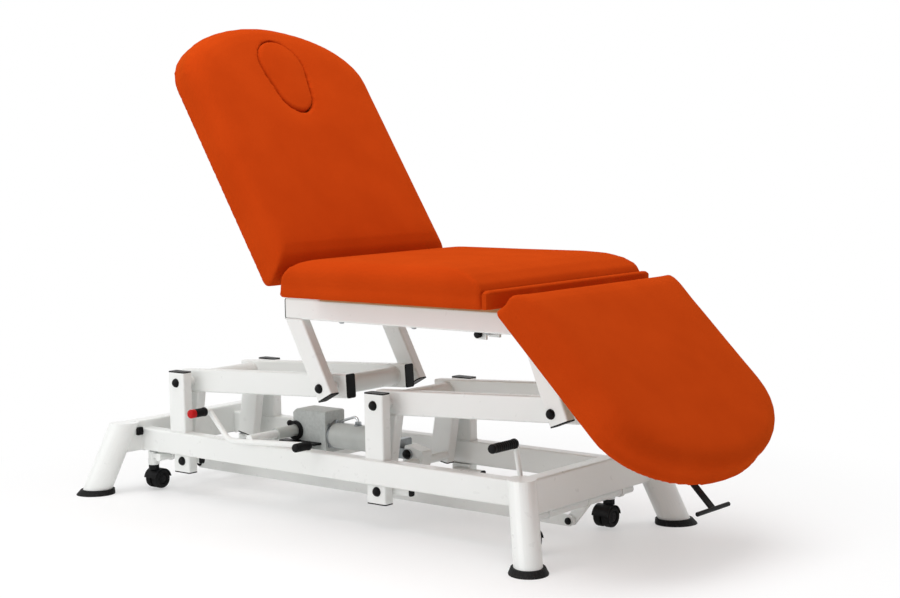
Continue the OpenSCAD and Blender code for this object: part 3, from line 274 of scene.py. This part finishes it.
WHITE = powder_coat("powder_coat_white", "f1f3f1", "eef0ed")
ORANGE = leatherette("leatherette_orange", "c24110", "bb3d0e")
PLASTIC = moulded("plastic_black", "0b0b0c", "141416")
GRIP = moulded("grip_black", "0c0c0d", "151516", 0.5, 900)
RED = moulded("plastic_red", "c01a1c", "a91416", 0.38)
CASTER = moulded("caster_black", "0e0e0f", "171719", 0.46)
HUB = moulded("hub_black", "121213", "1c1c1e", 0.4)
RUBBER = rubber("rubber_black")
CHROME = metal("chrome", "d5d7da", "c3c6ca", 0.12, 0.05, (1, 14, 1))
ZINC = metal("zinc_steel", "a9adb0", "8b9093", 0.34, 0.1)
JACK = metal("jack_paint", "cacdca", "bec2bf", 0.42, 0.06, (1, 20, 20), 0.0)
PUMP = casting("pump_casting", "c6cac8", "b4b8b6")
WELD = powder_coat("powder_coat_weld", "eaebe9", "e2e3e0")
PLY_SEAT = plywood("plywood_seat", 0.0)
PLY_BACK = plywood("plywood_back", -BACK_TILT)
PLY_LEG = plywood("plywood_leg", -LEG_DROP)

FINISH = {
    WHITE: ["side_rail_near", "side_rail_far", "cross_rail_head", "cross_rail_foot", "pump_beam",
            "frame_legs", "posts", "rail_lugs", "head_bars", "head_crank_posts", "head_cross_tubes",
            "foot_bars", "foot_crank_posts", "foot_cross_tubes", "drive_block", "seat_rails",
            "seat_cross_tubes", "seat_legs_head", "seat_legs_foot", "seat_brackets", "back_brackets",
            "leg_brackets", "foot_axle", "wheel_lever", "head_axle", "link_bar", "pedal_tube"],
    PLASTIC: ["frame_caps", "frame_bolts", "pump_valve", "head_lever_caps", "foot_lever_caps",
              "seat_leg_caps", "seat_bolts", "pull_handle"],
    RUBBER: ["rubber_feet", "caster_wheels_1", "caster_wheels_2", "caster_wheels_3", "caster_wheels_4"],
    GRIP: ["pedal_grips", "wheel_lever_grip"],
    CASTER: ["caster_yoke_1", "caster_yoke_2", "caster_yoke_3", "caster_yoke_4"],
    CHROME: ["oil_pipe", "jack_rod", "release_lever"],
    ZINC: ["rod_clevis"],
    JACK: ["jack_cylinder", "pedal_hub"],
    PUMP: ["pump_housing"],
    ORANGE: ["seat_cushion", "back_cushion", "face_plug", "leg_cushion"],
    PLY_SEAT: ["seat_board"],
    PLY_BACK: ["back_board"],
    PLY_LEG: ["leg_board"],
}
for material, names in FINISH.items():
    for name in names:
        mesh = nodes[name].data
        mesh.materials.clear()
        mesh.materials.append(material)


# Mesh helpers
def new_object(name, verts, faces, material, body):
    mesh = bpy.data.meshes.new(name)
    mesh.from_pydata([tuple(v) for v in verts], [], [tuple(f) for f in faces])
    mesh.validate()
    bm = bmesh.new()
    bm.from_mesh(mesh)
    bmesh.ops.recalc_face_normals(bm, faces=bm.faces)
    bm.to_mesh(mesh)
    bm.free()
    mesh.polygons.foreach_set("use_smooth", [True] * len(mesh.polygons))
    mesh.set_sharp_from_angle(angle=math.radians(38))
    mesh.materials.append(material)
    obj = bpy.data.objects.new(name, mesh)
    scene.collection.objects.link(obj)
    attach(obj, body)
    return obj


class Build:
    """Gathers several small forms into one mesh."""

    def __init__(self):
        self.verts = []
        self.faces = []

    def add(self, verts, faces):
        n = len(self.verts)
        self.verts += [Vector(v) for v in verts]
        self.faces += [[i + n for i in f] for f in faces]

    def rings(self, rings, closed=False):
        sides = len(rings[0])
        verts = [p for ring in rings for p in ring]
        faces = []
        last = len(rings) if closed else len(rings) - 1
        for j in range(last):
            for i in range(sides):
                k = (i + 1) % sides
                a, b = j * sides, ((j + 1) % len(rings)) * sides
                faces.append([a + i, a + k, b + k, b + i])
        if not closed:
            faces.append(list(range(sides))[::-1])
            faces.append([(len(rings) - 1) * sides + i for i in range(sides)])
        self.add(verts, faces)

    def sweep(self, points, radius, sides, ripple):
        """A round bead along a closed line of points. ripple makes its radius rise and fall."""
        rings = []
        side = None
        for i, p in enumerate(points):
            along = (points[(i + 1) % len(points)] - points[i - 1]).normalized()
            if side is None:
                side = along.orthogonal().normalized()
            side = (side - along * side.dot(along)).normalized()
            other = along.cross(side)
            r = radius * (1 + ripple * math.sin(i * 2.4))
            rings.append([p + side * r * math.cos(t) + other * r * math.sin(t)
                          for t in (2 * math.pi * k / sides for k in range(sides))])
        self.rings(rings, closed=True)

    def turned(self, centre, axis, profile, sides):
        """A form turned on a lathe: profile is a list of (distance along the axis, radius), in metres."""
        axis = Vector(axis).normalized()
        side = axis.orthogonal().normalized()
        other = axis.cross(side)
        self.rings([[centre + axis * d + side * r * math.cos(t) + other * r * math.sin(t)
                     for t in (2 * math.pi * k / sides for k in range(sides))] for d, r in profile])

    def object(self, name, material, body):
        return new_object(name, self.verts, self.faces, material, body)


def spread(points, step):
    """Points along a closed line of corners, about step apart."""
    out = []
    for a, b in zip(points, points[1:] + points[:1]):
        count = max(1, round((b - a).length / step))
        out += [a.lerp(b, i / count) for i in range(count)]
    return out


def rounded(w, h, r, n=4):
    """Corners of a rectangle w by h with round corners, as (u, v) pairs."""
    out = []
    for cx, cy, start in ((w / 2 - r, h / 2 - r, 0), (r - w / 2, h / 2 - r, 90),
                          (r - w / 2, r - h / 2, 180), (w / 2 - r, r - h / 2, 270)):
        for i in range(n + 1):
            a = math.radians(start + 90 * i / n)
            out.append((cx + r * math.cos(a), cy + r * math.sin(a)))
    return out


# Sizes of the frame that carry the small pieces, in millimetres
X, Y, Z = Vector((1, 0, 0)), Vector((0, 1, 0)), Vector((0, 0, 1))
SIDES = (-1, 1)
TUBE_H, TUBE_W, TUBE_CORNER = 60, 30, 5
RAIL_END_X, RAIL_Y, RAIL_W, RAIL_H, RAIL_MID_Z, RAIL_TOP = 654, 169, 38, 60, 140, 170
RAIL_FACE_Y = 150
POST_Y = 165
BAR_Y = 110
CROSS_TUBE_END, CROSS_TUBE_R = 95, 24
LEVER = 524
LEVER_TILT = math.radians(2.9)
CRANK_LEAN = math.radians(10.2)
CRANK_BEND = LEVER_TILT + CRANK_LEAN
PIVOT_Z = 301
UPPER_DX = LEVER * math.cos(LEVER_TILT)
UPPER_Z = PIVOT_Z + LEVER * math.sin(LEVER_TILT)
SEAT_Z = 495
PUMP_X, PUMP_FACE_X, BEAM_MID_Z = -175, -118, 121.5
JACK_Z = 176
PEDAL_Y = 205
FOOT_AXLE, HEAD_AXLE = 662, -590

# Weld beads where the tubes meet. PROUD and SEAT_PROUD are how far they stand off a face, in millimetres.
BEAD = 0.0021
BEAD_STEP = 3.5
BEAD_SIDES = 6
RIPPLE = 0.16
PROUD = 0.6
SEAT_PROUD = 0.4


def weld_rect(build, centre, u, v, w, h):
    corners = [centre + u * (x / 1000) + v * (y / 1000) for x, y in rounded(w, h, TUBE_CORNER)]
    build.sweep(spread(corners, BEAD_STEP / 1000), BEAD, BEAD_SIDES, RIPPLE)


def weld_ring(build, centre, r):
    steps = round(2 * math.pi * r / BEAD_STEP)
    angles = [2 * math.pi * i / steps for i in range(steps)]
    circle = [centre + Vector((math.cos(a) * r / 1000, 0, math.sin(a) * r / 1000)) for a in angles]
    build.sweep(circle, BEAD, BEAD_SIDES, RIPPLE)


def base_welds():
    welds = Build()
    for s in SIDES:
        for x in POSTS:
            weld_rect(welds, at(x, s * POST_Y, RAIL_TOP + PROUD), X, Y, TUBE_H + 1, TUBE_W + 1)
        for x in (-RAIL_END_X, RAIL_END_X):
            weld_rect(welds, at(x, s * RAIL_Y, RAIL_MID_Z), Y, Z, RAIL_W, RAIL_H)
        beam_w, beam_h = 60, 23
        weld_rect(welds, at(PUMP_X, s * (RAIL_FACE_Y - PROUD), BEAM_MID_Z), X, Z, beam_w, beam_h)
    welds.object("welds_base", WELD, "base")


def lever_welds(body, px):
    """Beads round the cross tubes of a lever pair and where its cranks meet its bars."""
    along = Vector((math.cos(LEVER_TILT), 0, math.sin(LEVER_TILT)))
    up = Vector((-math.sin(LEVER_TILT), 0, math.cos(LEVER_TILT)))
    half = TUBE_H / 2
    crank = along * -half * math.tan(CRANK_BEND) - up * half
    beads = Build()
    for s in SIDES:
        y = s * (CROSS_TUBE_END - PROUD)
        weld_ring(beads, at(px, y, PIVOT_Z), CROSS_TUBE_R + 0.5)
        weld_ring(beads, at(px + UPPER_DX, y, UPPER_Z), CROSS_TUBE_R + 0.5)
        weld_rect(beads, at(px + crank.x, s * BAR_Y, PIVOT_Z + crank.z), along, Y,
                  TUBE_H / math.cos(CRANK_BEND), TUBE_W + PROUD)
    beads.object(f"welds_{body}", WELD, body)


def seat_welds():
    """Beads where the leaning head legs and the head cross tube meet the seat rails."""
    lean = math.radians(27.9)
    off, leg_w = 5.3, 52
    tube_x, tube_z, tube_w, tube_h = -80, 510, 50, 30
    down = (SEAT_Z - UPPER_Z - off * math.sin(lean)) / math.cos(lean)
    leg_x = POSTS[0] + UPPER_DX + off * math.cos(lean) - down * math.sin(lean)
    beads = Build()
    for s in SIDES:
        weld_rect(beads, at(leg_x, s * POST_Y, SEAT_Z - SEAT_PROUD), X, Y,
                  leg_w / math.cos(lean), TUBE_W + SEAT_PROUD)
        weld_rect(beads, at(tube_x, s * (RAIL_FACE_Y - SEAT_PROUD), tube_z), X, Z, tube_w, tube_h)
    beads.object("welds_seat", WELD, "seat")


base_welds()
lever_welds("head_lever", POSTS[0])
lever_welds("foot_lever", POSTS[1])
seat_welds()

# Grips: ribs, a collar at the inner end and a rounded outer end on each
RIB = 0.0009
RIBS = 9
GRIP_R = 0.010
GRIP_SIDES = 36


def grip(build, centre, length):
    """Ribs along a grip that runs from centre towards -Y."""
    r = GRIP_R
    w = length / 37
    for i in range(RIBS):
        y = -length * (0.16 + 0.085 * i)
        build.turned(centre + Y * y, Y,
                     [(-w, r), (-w * 0.45, r + RIB), (w * 0.45, r + RIB), (w, r)], GRIP_SIDES)
    build.turned(centre, Y,
                 [(-0.008, r), (-0.007, r + 0.0016), (-0.002, r + 0.0018), (0.0, r + 0.0006),
                  (0.0008, r - 0.0015)], GRIP_SIDES)
    build.turned(centre - Y * length, Y,
                 [(-0.0035, r * 0.45), (-0.003, r * 0.7), (-0.0016, r * 0.92), (0.001, r + 0.0006),
                  (0.004, r + 0.0008), (0.006, r)], GRIP_SIDES)


GRIPS = (
    ("grip_ribs_pedal_right", "pedal", at(-12, -PEDAL_Y, 190), 0.049),
    ("grip_ribs_pedal_left", "pedal", at(-366, -PEDAL_Y - 15, 244), 0.049),
    ("grip_ribs_wheel_lever", "foot_wheels_lift", at(617, -197, 257), 0.085),
)
for name, body, place, length in GRIPS:
    ribs = Build()
    grip(ribs, place, length)
    ribs.object(name, GRIP, body)
red_end = Build()
red_end.turned(at(-366, -PEDAL_Y - 64, 244), -Y,
               [(-0.012, 0.0101), (-0.0115, 0.0113), (0.001, 0.0113), (0.0034, 0.0099),
                (0.0048, 0.0069), (0.0052, 0.0025)], GRIP_SIDES)
red_end.object("grip_end_red", RED, "pedal")

# Tip of the release lever
tip = Build()
tip.turned(at(486, -152, 488), -Y,
           [(0.0, 0.0068), (0.0008, 0.0078), (0.010, 0.0085), (0.0135, 0.0072), (0.0148, 0.003)], 32)
tip.object("release_tip", PLASTIC, "back_release")


# Pump, jack and pipe fittings
def hexagon(build, centre, axis, across, length):
    """Hexagon nut with its edges drawn in a little at both ends, in millimetres."""
    axis = Vector(axis).normalized()
    side = axis.orthogonal().normalized()
    other = axis.cross(side)
    r = across / 1000 / math.sqrt(3)
    corners = [side * math.cos(t) + other * math.sin(t) for t in (math.pi * k / 3 for k in range(6))]
    build.rings([[centre + axis * (d * length / 1000) + corner * r * share for corner in corners]
                 for d, share in ((0, 0.94), (0.12, 1), (0.88, 1), (1, 0.94))])


def cap_screw(build, centre, axis, r):
    """Socket head screw: a turned head with a hollow in its face."""
    build.turned(centre, axis,
                 [(0, r * 0.9), (0.0004, r), (r * 0.9, r), (r, r * 0.9), (r, r * 0.5),
                  (r * 0.4, r * 0.48), (r * 0.4, r * 0.05)], 24)


def pipe_unions():
    """Nuts at the two ends of the oil pipe, and the seat of the one on the jack."""
    drop_x = -36
    across = 14
    fittings = Build()
    hexagon(fittings, at(PUMP_FACE_X, 0, 206), Vector((82, 0, 27)), across, 11)
    hexagon(fittings, at(drop_x, 0, 208.5), Z, across, 9)
    fittings.turned(at(drop_x, 0, 205), Z, [(0, 0.011), (0.003, 0.011), (0.0045, 0.0095)], 32)
    fittings.object("pipe_unions", ZINC, "base")


def flange_screws():
    screws = Build()
    for z in (150, 205):
        for y in (-24, 24):
            cap_screw(screws, at(PUMP_FACE_X, y, z), X, 0.0042)
    screws.object("pump_screws", ZINC, "base")


def jack_rims():
    """Flange, gland ring and gland nose of the jack."""
    gland_x, nose_x = 31, 60
    rims = Build()
    rims.turned(at(PUMP_FACE_X, 0, JACK_Z), X,
                [(0, 0.0345), (0.005, 0.0345), (0.006, 0.0335), (0.006, 0.0325)], 64)
    rims.turned(at(gland_x, 0, JACK_Z), X,
                [(0, 0.0325), (0.0008, 0.0338), (0.0112, 0.0338), (0.012, 0.0325)], 64)
    rims.turned(at(nose_x, 0, JACK_Z), X,
                [(0, 0.0285), (0.001, 0.0225), (0.0024, 0.021), (0.0024, 0.0145)], 48)
    rims.object("jack_rims", ZINC, "base")


def clevis_covers():
    """Black covers over the ends of the clevis pin: slices of a ball, in millimetres."""
    pin_x, face_y, pin_z = 148.12, 25.5, 156.97
    ball_squared, sink = 161.3, 2.2
    profile = [(d / 1000, math.sqrt(max(0.16, ball_squared - (d + sink) ** 2)) / 1000)
               for d in (0, 2, 4, 6, 7.5, 9, 10, 10.5)]
    covers = Build()
    for s in SIDES:
        covers.turned(at(pin_x, s * face_y, pin_z), Y * s, profile, 36)
    covers.object("clevis_covers", PLASTIC, "jack")


def link_cover(body, axle_x):
    """Black cover over the pin that carries an end of the link bar."""
    crank_back, face_y, link_z = 40, -7.5, 48
    pin = Build()
    pin.turned(at(axle_x - crank_back, face_y, link_z), -Y,
               [(0, 0.0086), (0.002, 0.0084), (0.0045, 0.0068), (0.006, 0.004), (0.0065, 0.001)], 32)
    pin.object(f"link_cover_{body}", PLASTIC, body)


pipe_unions()
flange_screws()
jack_rims()
clevis_covers()
link_cover("foot_wheels_lift", FOOT_AXLE)
link_cover("head_wheels_lift", HEAD_AXLE)

# Casters: hub caps and tread lines on the wheels, sockets and nuts on the stems
STEM_BACK, STEM_Y, WHEEL_Y, WHEEL_Z, SOCKET_Z, NUT_Z = 45, 167, 155, 30, 86.3, 106.1
HUB_FACE = 0.019
TREAD_LINES = (0.0065, 0.0115, 0.0165)
HUB_PROFILE = [(0, 0.0122), (0.0012, 0.0122), (0.0022, 0.0108), (0.0022, 0.0075), (0.0032, 0.0064),
               (0.0032, 0.002)]
TREAD_PROFILE = [(-0.0011, 0.0249), (-0.0006, 0.0256), (0.0006, 0.0256), (0.0011, 0.0249)]
SOCKET_PROFILE = [(0, 0.0141), (0, 0.0152), (0.0155, 0.0152), (0.0165, 0.0146), (0.0165, 0.0142)]


def caster(i, axle_x, s, lift):
    wheel = at(axle_x - STEM_BACK, s * WHEEL_Y, WHEEL_Z)
    hub = Build()
    tread = Build()
    for side in SIDES:
        hub.turned(wheel + X * side * HUB_FACE, X * side, HUB_PROFILE, 40)
        for x in TREAD_LINES:
            tread.turned(wheel + X * side * x, X, TREAD_PROFILE, 56)
    hub.object(f"caster_hub_{i}", HUB, f"wheels_{i}")
    tread.object(f"caster_tread_{i}", RUBBER, f"wheels_{i}")
    socket = Build()
    socket.turned(at(axle_x - STEM_BACK, s * STEM_Y, SOCKET_Z), -Z, SOCKET_PROFILE, 40)
    socket.object(f"caster_socket_{i}", WHITE, lift)
    nut = Build()
    hexagon(nut, at(axle_x - STEM_BACK, s * STEM_Y, NUT_Z), Z, 17, 6)
    nut.object(f"caster_nut_{i}", ZINC, lift)


caster(1, FOOT_AXLE, -1, "foot_wheels_lift")
caster(2, FOOT_AXLE, 1, "foot_wheels_lift")
caster(3, HEAD_AXLE, -1, "head_wheels_lift")
caster(4, HEAD_AXLE, 1, "head_wheels_lift")

# Screws that hold the boards to the seat rails
SCREW_PROFILE = [(0, 0.0085), (0.0012, 0.0085), (0.0014, 0.0062), (0.004, 0.0055), (0.0048, 0.003)]
board_screws = Build()
for s in SIDES:
    for x in (70, 300, 520):
        board_screws.turned(at(x, s * POST_Y, SEAT_Z), -Z, SCREW_PROFILE, 28)
board_screws.object("board_screws", ZINC, "seat")


# Cushions
def welded_copy(node, name):
    mesh = nodes[node].data.copy()
    mesh.name = name
    bm = bmesh.new()
    bm.from_mesh(mesh)
    bmesh.ops.remove_doubles(bm, verts=bm.verts, dist=1e-5)
    bmesh.ops.recalc_face_normals(bm, faces=bm.faces)
    bm.to_mesh(mesh)
    bm.free()
    obj = bpy.data.objects.new(name, mesh)
    scene.collection.objects.link(obj)
    return obj


def coords(mesh):
    co = np.empty(len(mesh.vertices) * 3)
    mesh.vertices.foreach_get("co", co)
    return co.reshape(-1, 3)


def set_coords(mesh, co):
    mesh.vertices.foreach_set("co", co.astype(np.float32).ravel())
    mesh.update()


def vertex_normals(mesh):
    out = np.empty(len(mesh.vertices) * 3)
    mesh.vertices.foreach_get("normal", out)
    return out.reshape(-1, 3)


def apply_all(obj):
    deps = bpy.context.evaluated_depsgraph_get()
    made = bpy.data.meshes.new_from_object(obj.evaluated_get(deps))
    old = obj.data
    obj.modifiers.clear()
    obj.data = made
    bpy.data.meshes.remove(old)


def remeshed(obj, voxel):
    m = obj.modifiers.new("remesh", "REMESH")
    m.mode = "VOXEL"
    m.voxel_size = voxel
    m.adaptivity = 0
    apply_all(obj)


def averaged(mesh, field, pulls, keep=None):
    """Moves each point's value towards its neighbours' mean, once for each share in pulls."""
    edges = np.empty(len(mesh.edges) * 2, np.int64)
    mesh.edges.foreach_get("vertices", edges)
    a, b = edges.reshape(-1, 2).T
    count = np.bincount(np.concatenate([a, b]), minlength=len(mesh.vertices)).astype(float)
    for pull in pulls:
        total = np.stack([np.bincount(a, field[b, k], len(field)) + np.bincount(b, field[a, k], len(field))
                          for k in range(3)], axis=1)
        move = (total / count[:, None] - field) * pull
        if keep is not None:
            move[keep] = 0
        field = field + move
    return field


def relaxed(mesh, rounds, keep=None):
    """Smooths a mesh without shrinking it. keep holds points still."""
    set_coords(mesh, averaged(mesh, coords(mesh), [0.5, -0.515] * rounds, keep))


PRESSURE = 4.0
CLOTH_FRAMES = 20
EVEN_OUT = [0.6] * 40


def inflated(obj, held, cap):
    """Cloth under inner pressure, with the held points pinned and every move capped."""
    group = obj.vertex_groups.new(name="held")
    group.add([int(i) for i in np.flatnonzero(held)], 1.0, "REPLACE")
    m = obj.modifiers.new("cloth", "CLOTH")
    c = m.settings
    c.quality = 5
    c.mass = 0.3
    c.tension_stiffness = 15
    c.compression_stiffness = 15
    c.shear_stiffness = 8
    c.bending_stiffness = 1.5
    c.use_pressure = True
    c.uniform_pressure_force = PRESSURE
    c.effector_weights.gravity = 0
    c.vertex_group_mass = "held"
    m.point_cache.frame_start = 1
    m.point_cache.frame_end = CLOTH_FRAMES
    start = coords(obj.data)
    for f in range(1, CLOTH_FRAMES + 1):
        scene.frame_set(f)
    deps = bpy.context.evaluated_depsgraph_get()
    now = coords(obj.evaluated_get(deps).data)
    scene.frame_set(1)
    move = now - start
    size = np.linalg.norm(move, axis=1, keepdims=True)
    move *= cap * np.tanh(size / cap) / np.maximum(size, 1e-9)
    move = averaged(obj.data, move, EVEN_OUT, held)
    obj.modifiers.clear()
    obj.vertex_groups.clear()
    set_coords(obj.data, start + move)


def finish_cushion(obj, body):
    m = obj.modifiers.new("subdivision", "SUBSURF")
    m.levels = m.render_levels = 1
    apply_all(obj)
    mesh = obj.data
    mesh.polygons.foreach_set("use_smooth", [True] * len(mesh.polygons))
    mesh.materials.clear()
    mesh.materials.append(ORANGE)
    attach(obj, body)


# Each section's hinge and the direction out of its board, and its cushion's underside from the hinge
HINGE_Z = 580
UNDERSIDE = -0.017
HELD_DEPTH = 0.0035
SECTIONS = {
    "seat": (at(0, 0, HINGE_Z), Z),
    "back": (at(-17, 0, HINGE_Z), Vector((math.sin(BACK_TILT), 0, math.cos(BACK_TILT)))),
    "legrest": (at(656, 0, HINGE_Z), Vector((math.sin(LEG_DROP), 0, math.cos(LEG_DROP)))),
}


def height_over_hinge(section, co):
    hinge, out = SECTIONS[section]
    return (co - np.array(hinge)) @ np.array(out)


def cushion(name, node, body, section, voxel, shrink, cap, fill, shape=None):
    """Dresses a cushion node: a fine mesh, blown up a little off its held underside."""
    obj = welded_copy(node, name)
    remeshed(obj, voxel)
    mesh = obj.data
    relaxed(mesh, 10)
    if shape:
        set_coords(mesh, shape(coords(mesh)))
    held = height_over_hinge(section, coords(mesh)) < UNDERSIDE + HELD_DEPTH
    normals = vertex_normals(mesh)
    co = coords(mesh)
    co[~held] -= normals[~held] * shrink
    set_coords(mesh, co)
    inflated(obj, held, cap)
    finish_cushion(obj, body)
    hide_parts(node)


def seat_shape(co):
    """Draws the seat's foot end back a little, to leave room for the end strip."""
    room = 0.019
    start = at(300, 0, 0).x
    end = at(640, 0, 0).x
    out = co.copy()
    beyond = out[:, 0] > start
    out[beyond, 0] = start + (out[beyond, 0] - start) * (end - room - start) / (end - start)
    return out


PAD = {"voxel": 0.006, "shrink": 0.0008, "cap": 0.004, "fill": 0.85}
PLUG = {"voxel": 0.004, "shrink": 0.001, "cap": 0.003, "fill": 0.9}
cushion("cushion_seat", "seat_cushion", "seat", "seat", **PAD, shape=seat_shape)
cushion("cushion_back", "back_cushion", "back", "back", **PAD)
cushion("cushion_leg", "leg_cushion", "legrest", "legrest", **PAD)
cushion("cushion_plug", "face_plug", "plug", "back", **PLUG)

# Padded strip that closes the foot end of the seat, in millimetres
STRIP_X, STRIP_HALF, STRIP_LOW, STRIP_TOP, STRIP_THICK, STRIP_ROUND = 619.5, 317, 564, 605, 21, 6.5
STRIP_STEPS, STRIP_TAPER = 48, 9


def strip_section(y):
    """Outline of the strip at y. It draws in towards its two ends."""
    near_end = max(0.0, (abs(y) - (STRIP_HALF - STRIP_TAPER)) / STRIP_TAPER)
    shrink = 1 - 0.42 * near_end ** 2.2
    height = (STRIP_TOP - STRIP_LOW) * (1 - 0.14 * near_end ** 2)
    middle = (STRIP_LOW + STRIP_TOP) / 2 - 2 * near_end
    outline = rounded(STRIP_THICK * shrink, height, STRIP_ROUND * shrink, 6)
    return [at(STRIP_X + STRIP_THICK / 2 + u, y, middle + v) for u, v in outline]


strip = Build()
strip.rings([strip_section(STRIP_HALF * (2 * i / STRIP_STEPS - 1)) for i in range(STRIP_STEPS + 1)])
lip = strip.object("cushion_seat_strip", ORANGE, "seat")

# Floor, light and background
floor_mesh = bpy.data.meshes.new("floor")
bm = bmesh.new()
bmesh.ops.create_circle(bm, cap_ends=True, segments=96, radius=14)
bm.to_mesh(floor_mesh)
bm.free()
floor = bpy.data.objects.new("floor", floor_mesh)
scene.collection.objects.link(floor)
fm = bpy.data.materials.new("floor")
fm.use_nodes = True
tree = fm.node_tree
surface = tree.nodes["Principled BSDF"]
surface.inputs["Base Color"].default_value = (0.99, 0.99, 0.99, 1)
surface.inputs["Roughness"].default_value = 0.55
surface.inputs["Specular IOR Level"].default_value = 0.2
place = tree.nodes.new("ShaderNodeNewGeometry")
length = tree.nodes.new("ShaderNodeVectorMath")
length.operation = "LENGTH"
tree.links.new(place.outputs["Position"], length.inputs[0])
fade = tree.nodes.new("ShaderNodeMapRange")
fade.interpolation_type = "SMOOTHSTEP"
fade.inputs["From Min"].default_value = 0.75
fade.inputs["From Max"].default_value = 1.5
fade.inputs["To Min"].default_value = 0.4
tree.links.new(length.outputs["Value"], fade.inputs["Value"])
rays = tree.nodes.new("ShaderNodeLightPath")
seen = tree.nodes.new("ShaderNodeMath")
seen.operation = "MAXIMUM"
tree.links.new(rays.outputs["Is Camera Ray"], seen.inputs[0])
tree.links.new(rays.outputs["Is Glossy Ray"], seen.inputs[1])
both = tree.nodes.new("ShaderNodeMath")
both.operation = "MULTIPLY"
tree.links.new(seen.outputs[0], both.inputs[0])
tree.links.new(fade.outputs["Result"], both.inputs[1])
glow = tree.nodes.new("ShaderNodeEmission")
glow.inputs["Strength"].default_value = 1.0
blend = tree.nodes.new("ShaderNodeMixShader")
tree.links.new(both.outputs[0], blend.inputs[0])
tree.links.new(surface.outputs[0], blend.inputs[1])
tree.links.new(glow.outputs[0], blend.inputs[2])
tree.links.new(blend.outputs[0], tree.nodes["Material Output"].inputs["Surface"])
floor_mesh.materials.append(fm)

world = bpy.data.worlds.new("studio")
scene.world = world
world.use_nodes = True
wt = world.node_tree
wt.nodes.clear()
out = wt.nodes.new("ShaderNodeOutputWorld")
ambient = wt.nodes.new("ShaderNodeBackground")
ambient.inputs["Color"].default_value = (1, 1, 1, 1)
ambient.inputs["Strength"].default_value = 0.44
white = wt.nodes.new("ShaderNodeBackground")
white.inputs["Color"].default_value = (1, 1, 1, 1)
white.inputs["Strength"].default_value = 1.0
path = wt.nodes.new("ShaderNodeLightPath")
any_ray = wt.nodes.new("ShaderNodeMath")
any_ray.operation = "MAXIMUM"
wt.links.new(path.outputs["Is Camera Ray"], any_ray.inputs[0])
glossy = wt.nodes.new("ShaderNodeMath")
glossy.operation = "MAXIMUM"
wt.links.new(path.outputs["Is Glossy Ray"], glossy.inputs[0])
wt.links.new(path.outputs["Is Transmission Ray"], glossy.inputs[1])
wt.links.new(glossy.outputs[0], any_ray.inputs[1])
choose = wt.nodes.new("ShaderNodeMixShader")
wt.links.new(any_ray.outputs[0], choose.inputs[0])
wt.links.new(ambient.outputs[0], choose.inputs[1])
wt.links.new(white.outputs[0], choose.inputs[2])
wt.links.new(choose.outputs[0], out.inputs["Surface"])


def lamp(name, place, target, size, power):
    data = bpy.data.lights.new(name, "AREA")
    data.shape = "SQUARE"
    data.size = size
    data.energy = power
    obj = bpy.data.objects.new(name, data)
    scene.collection.objects.link(obj)
    obj.location = place
    obj.rotation_euler = (Vector(target) - Vector(place)).to_track_quat("-Z", "Y").to_euler()


lamp("lamp_top", (0.2, -0.3, 3.6), (0.1, 0, 0.3), 3.2, 90)
lamp("lamp_front", (-1.4, -3.8, 2.0), (0, 0, 0.4), 3.0, 52)
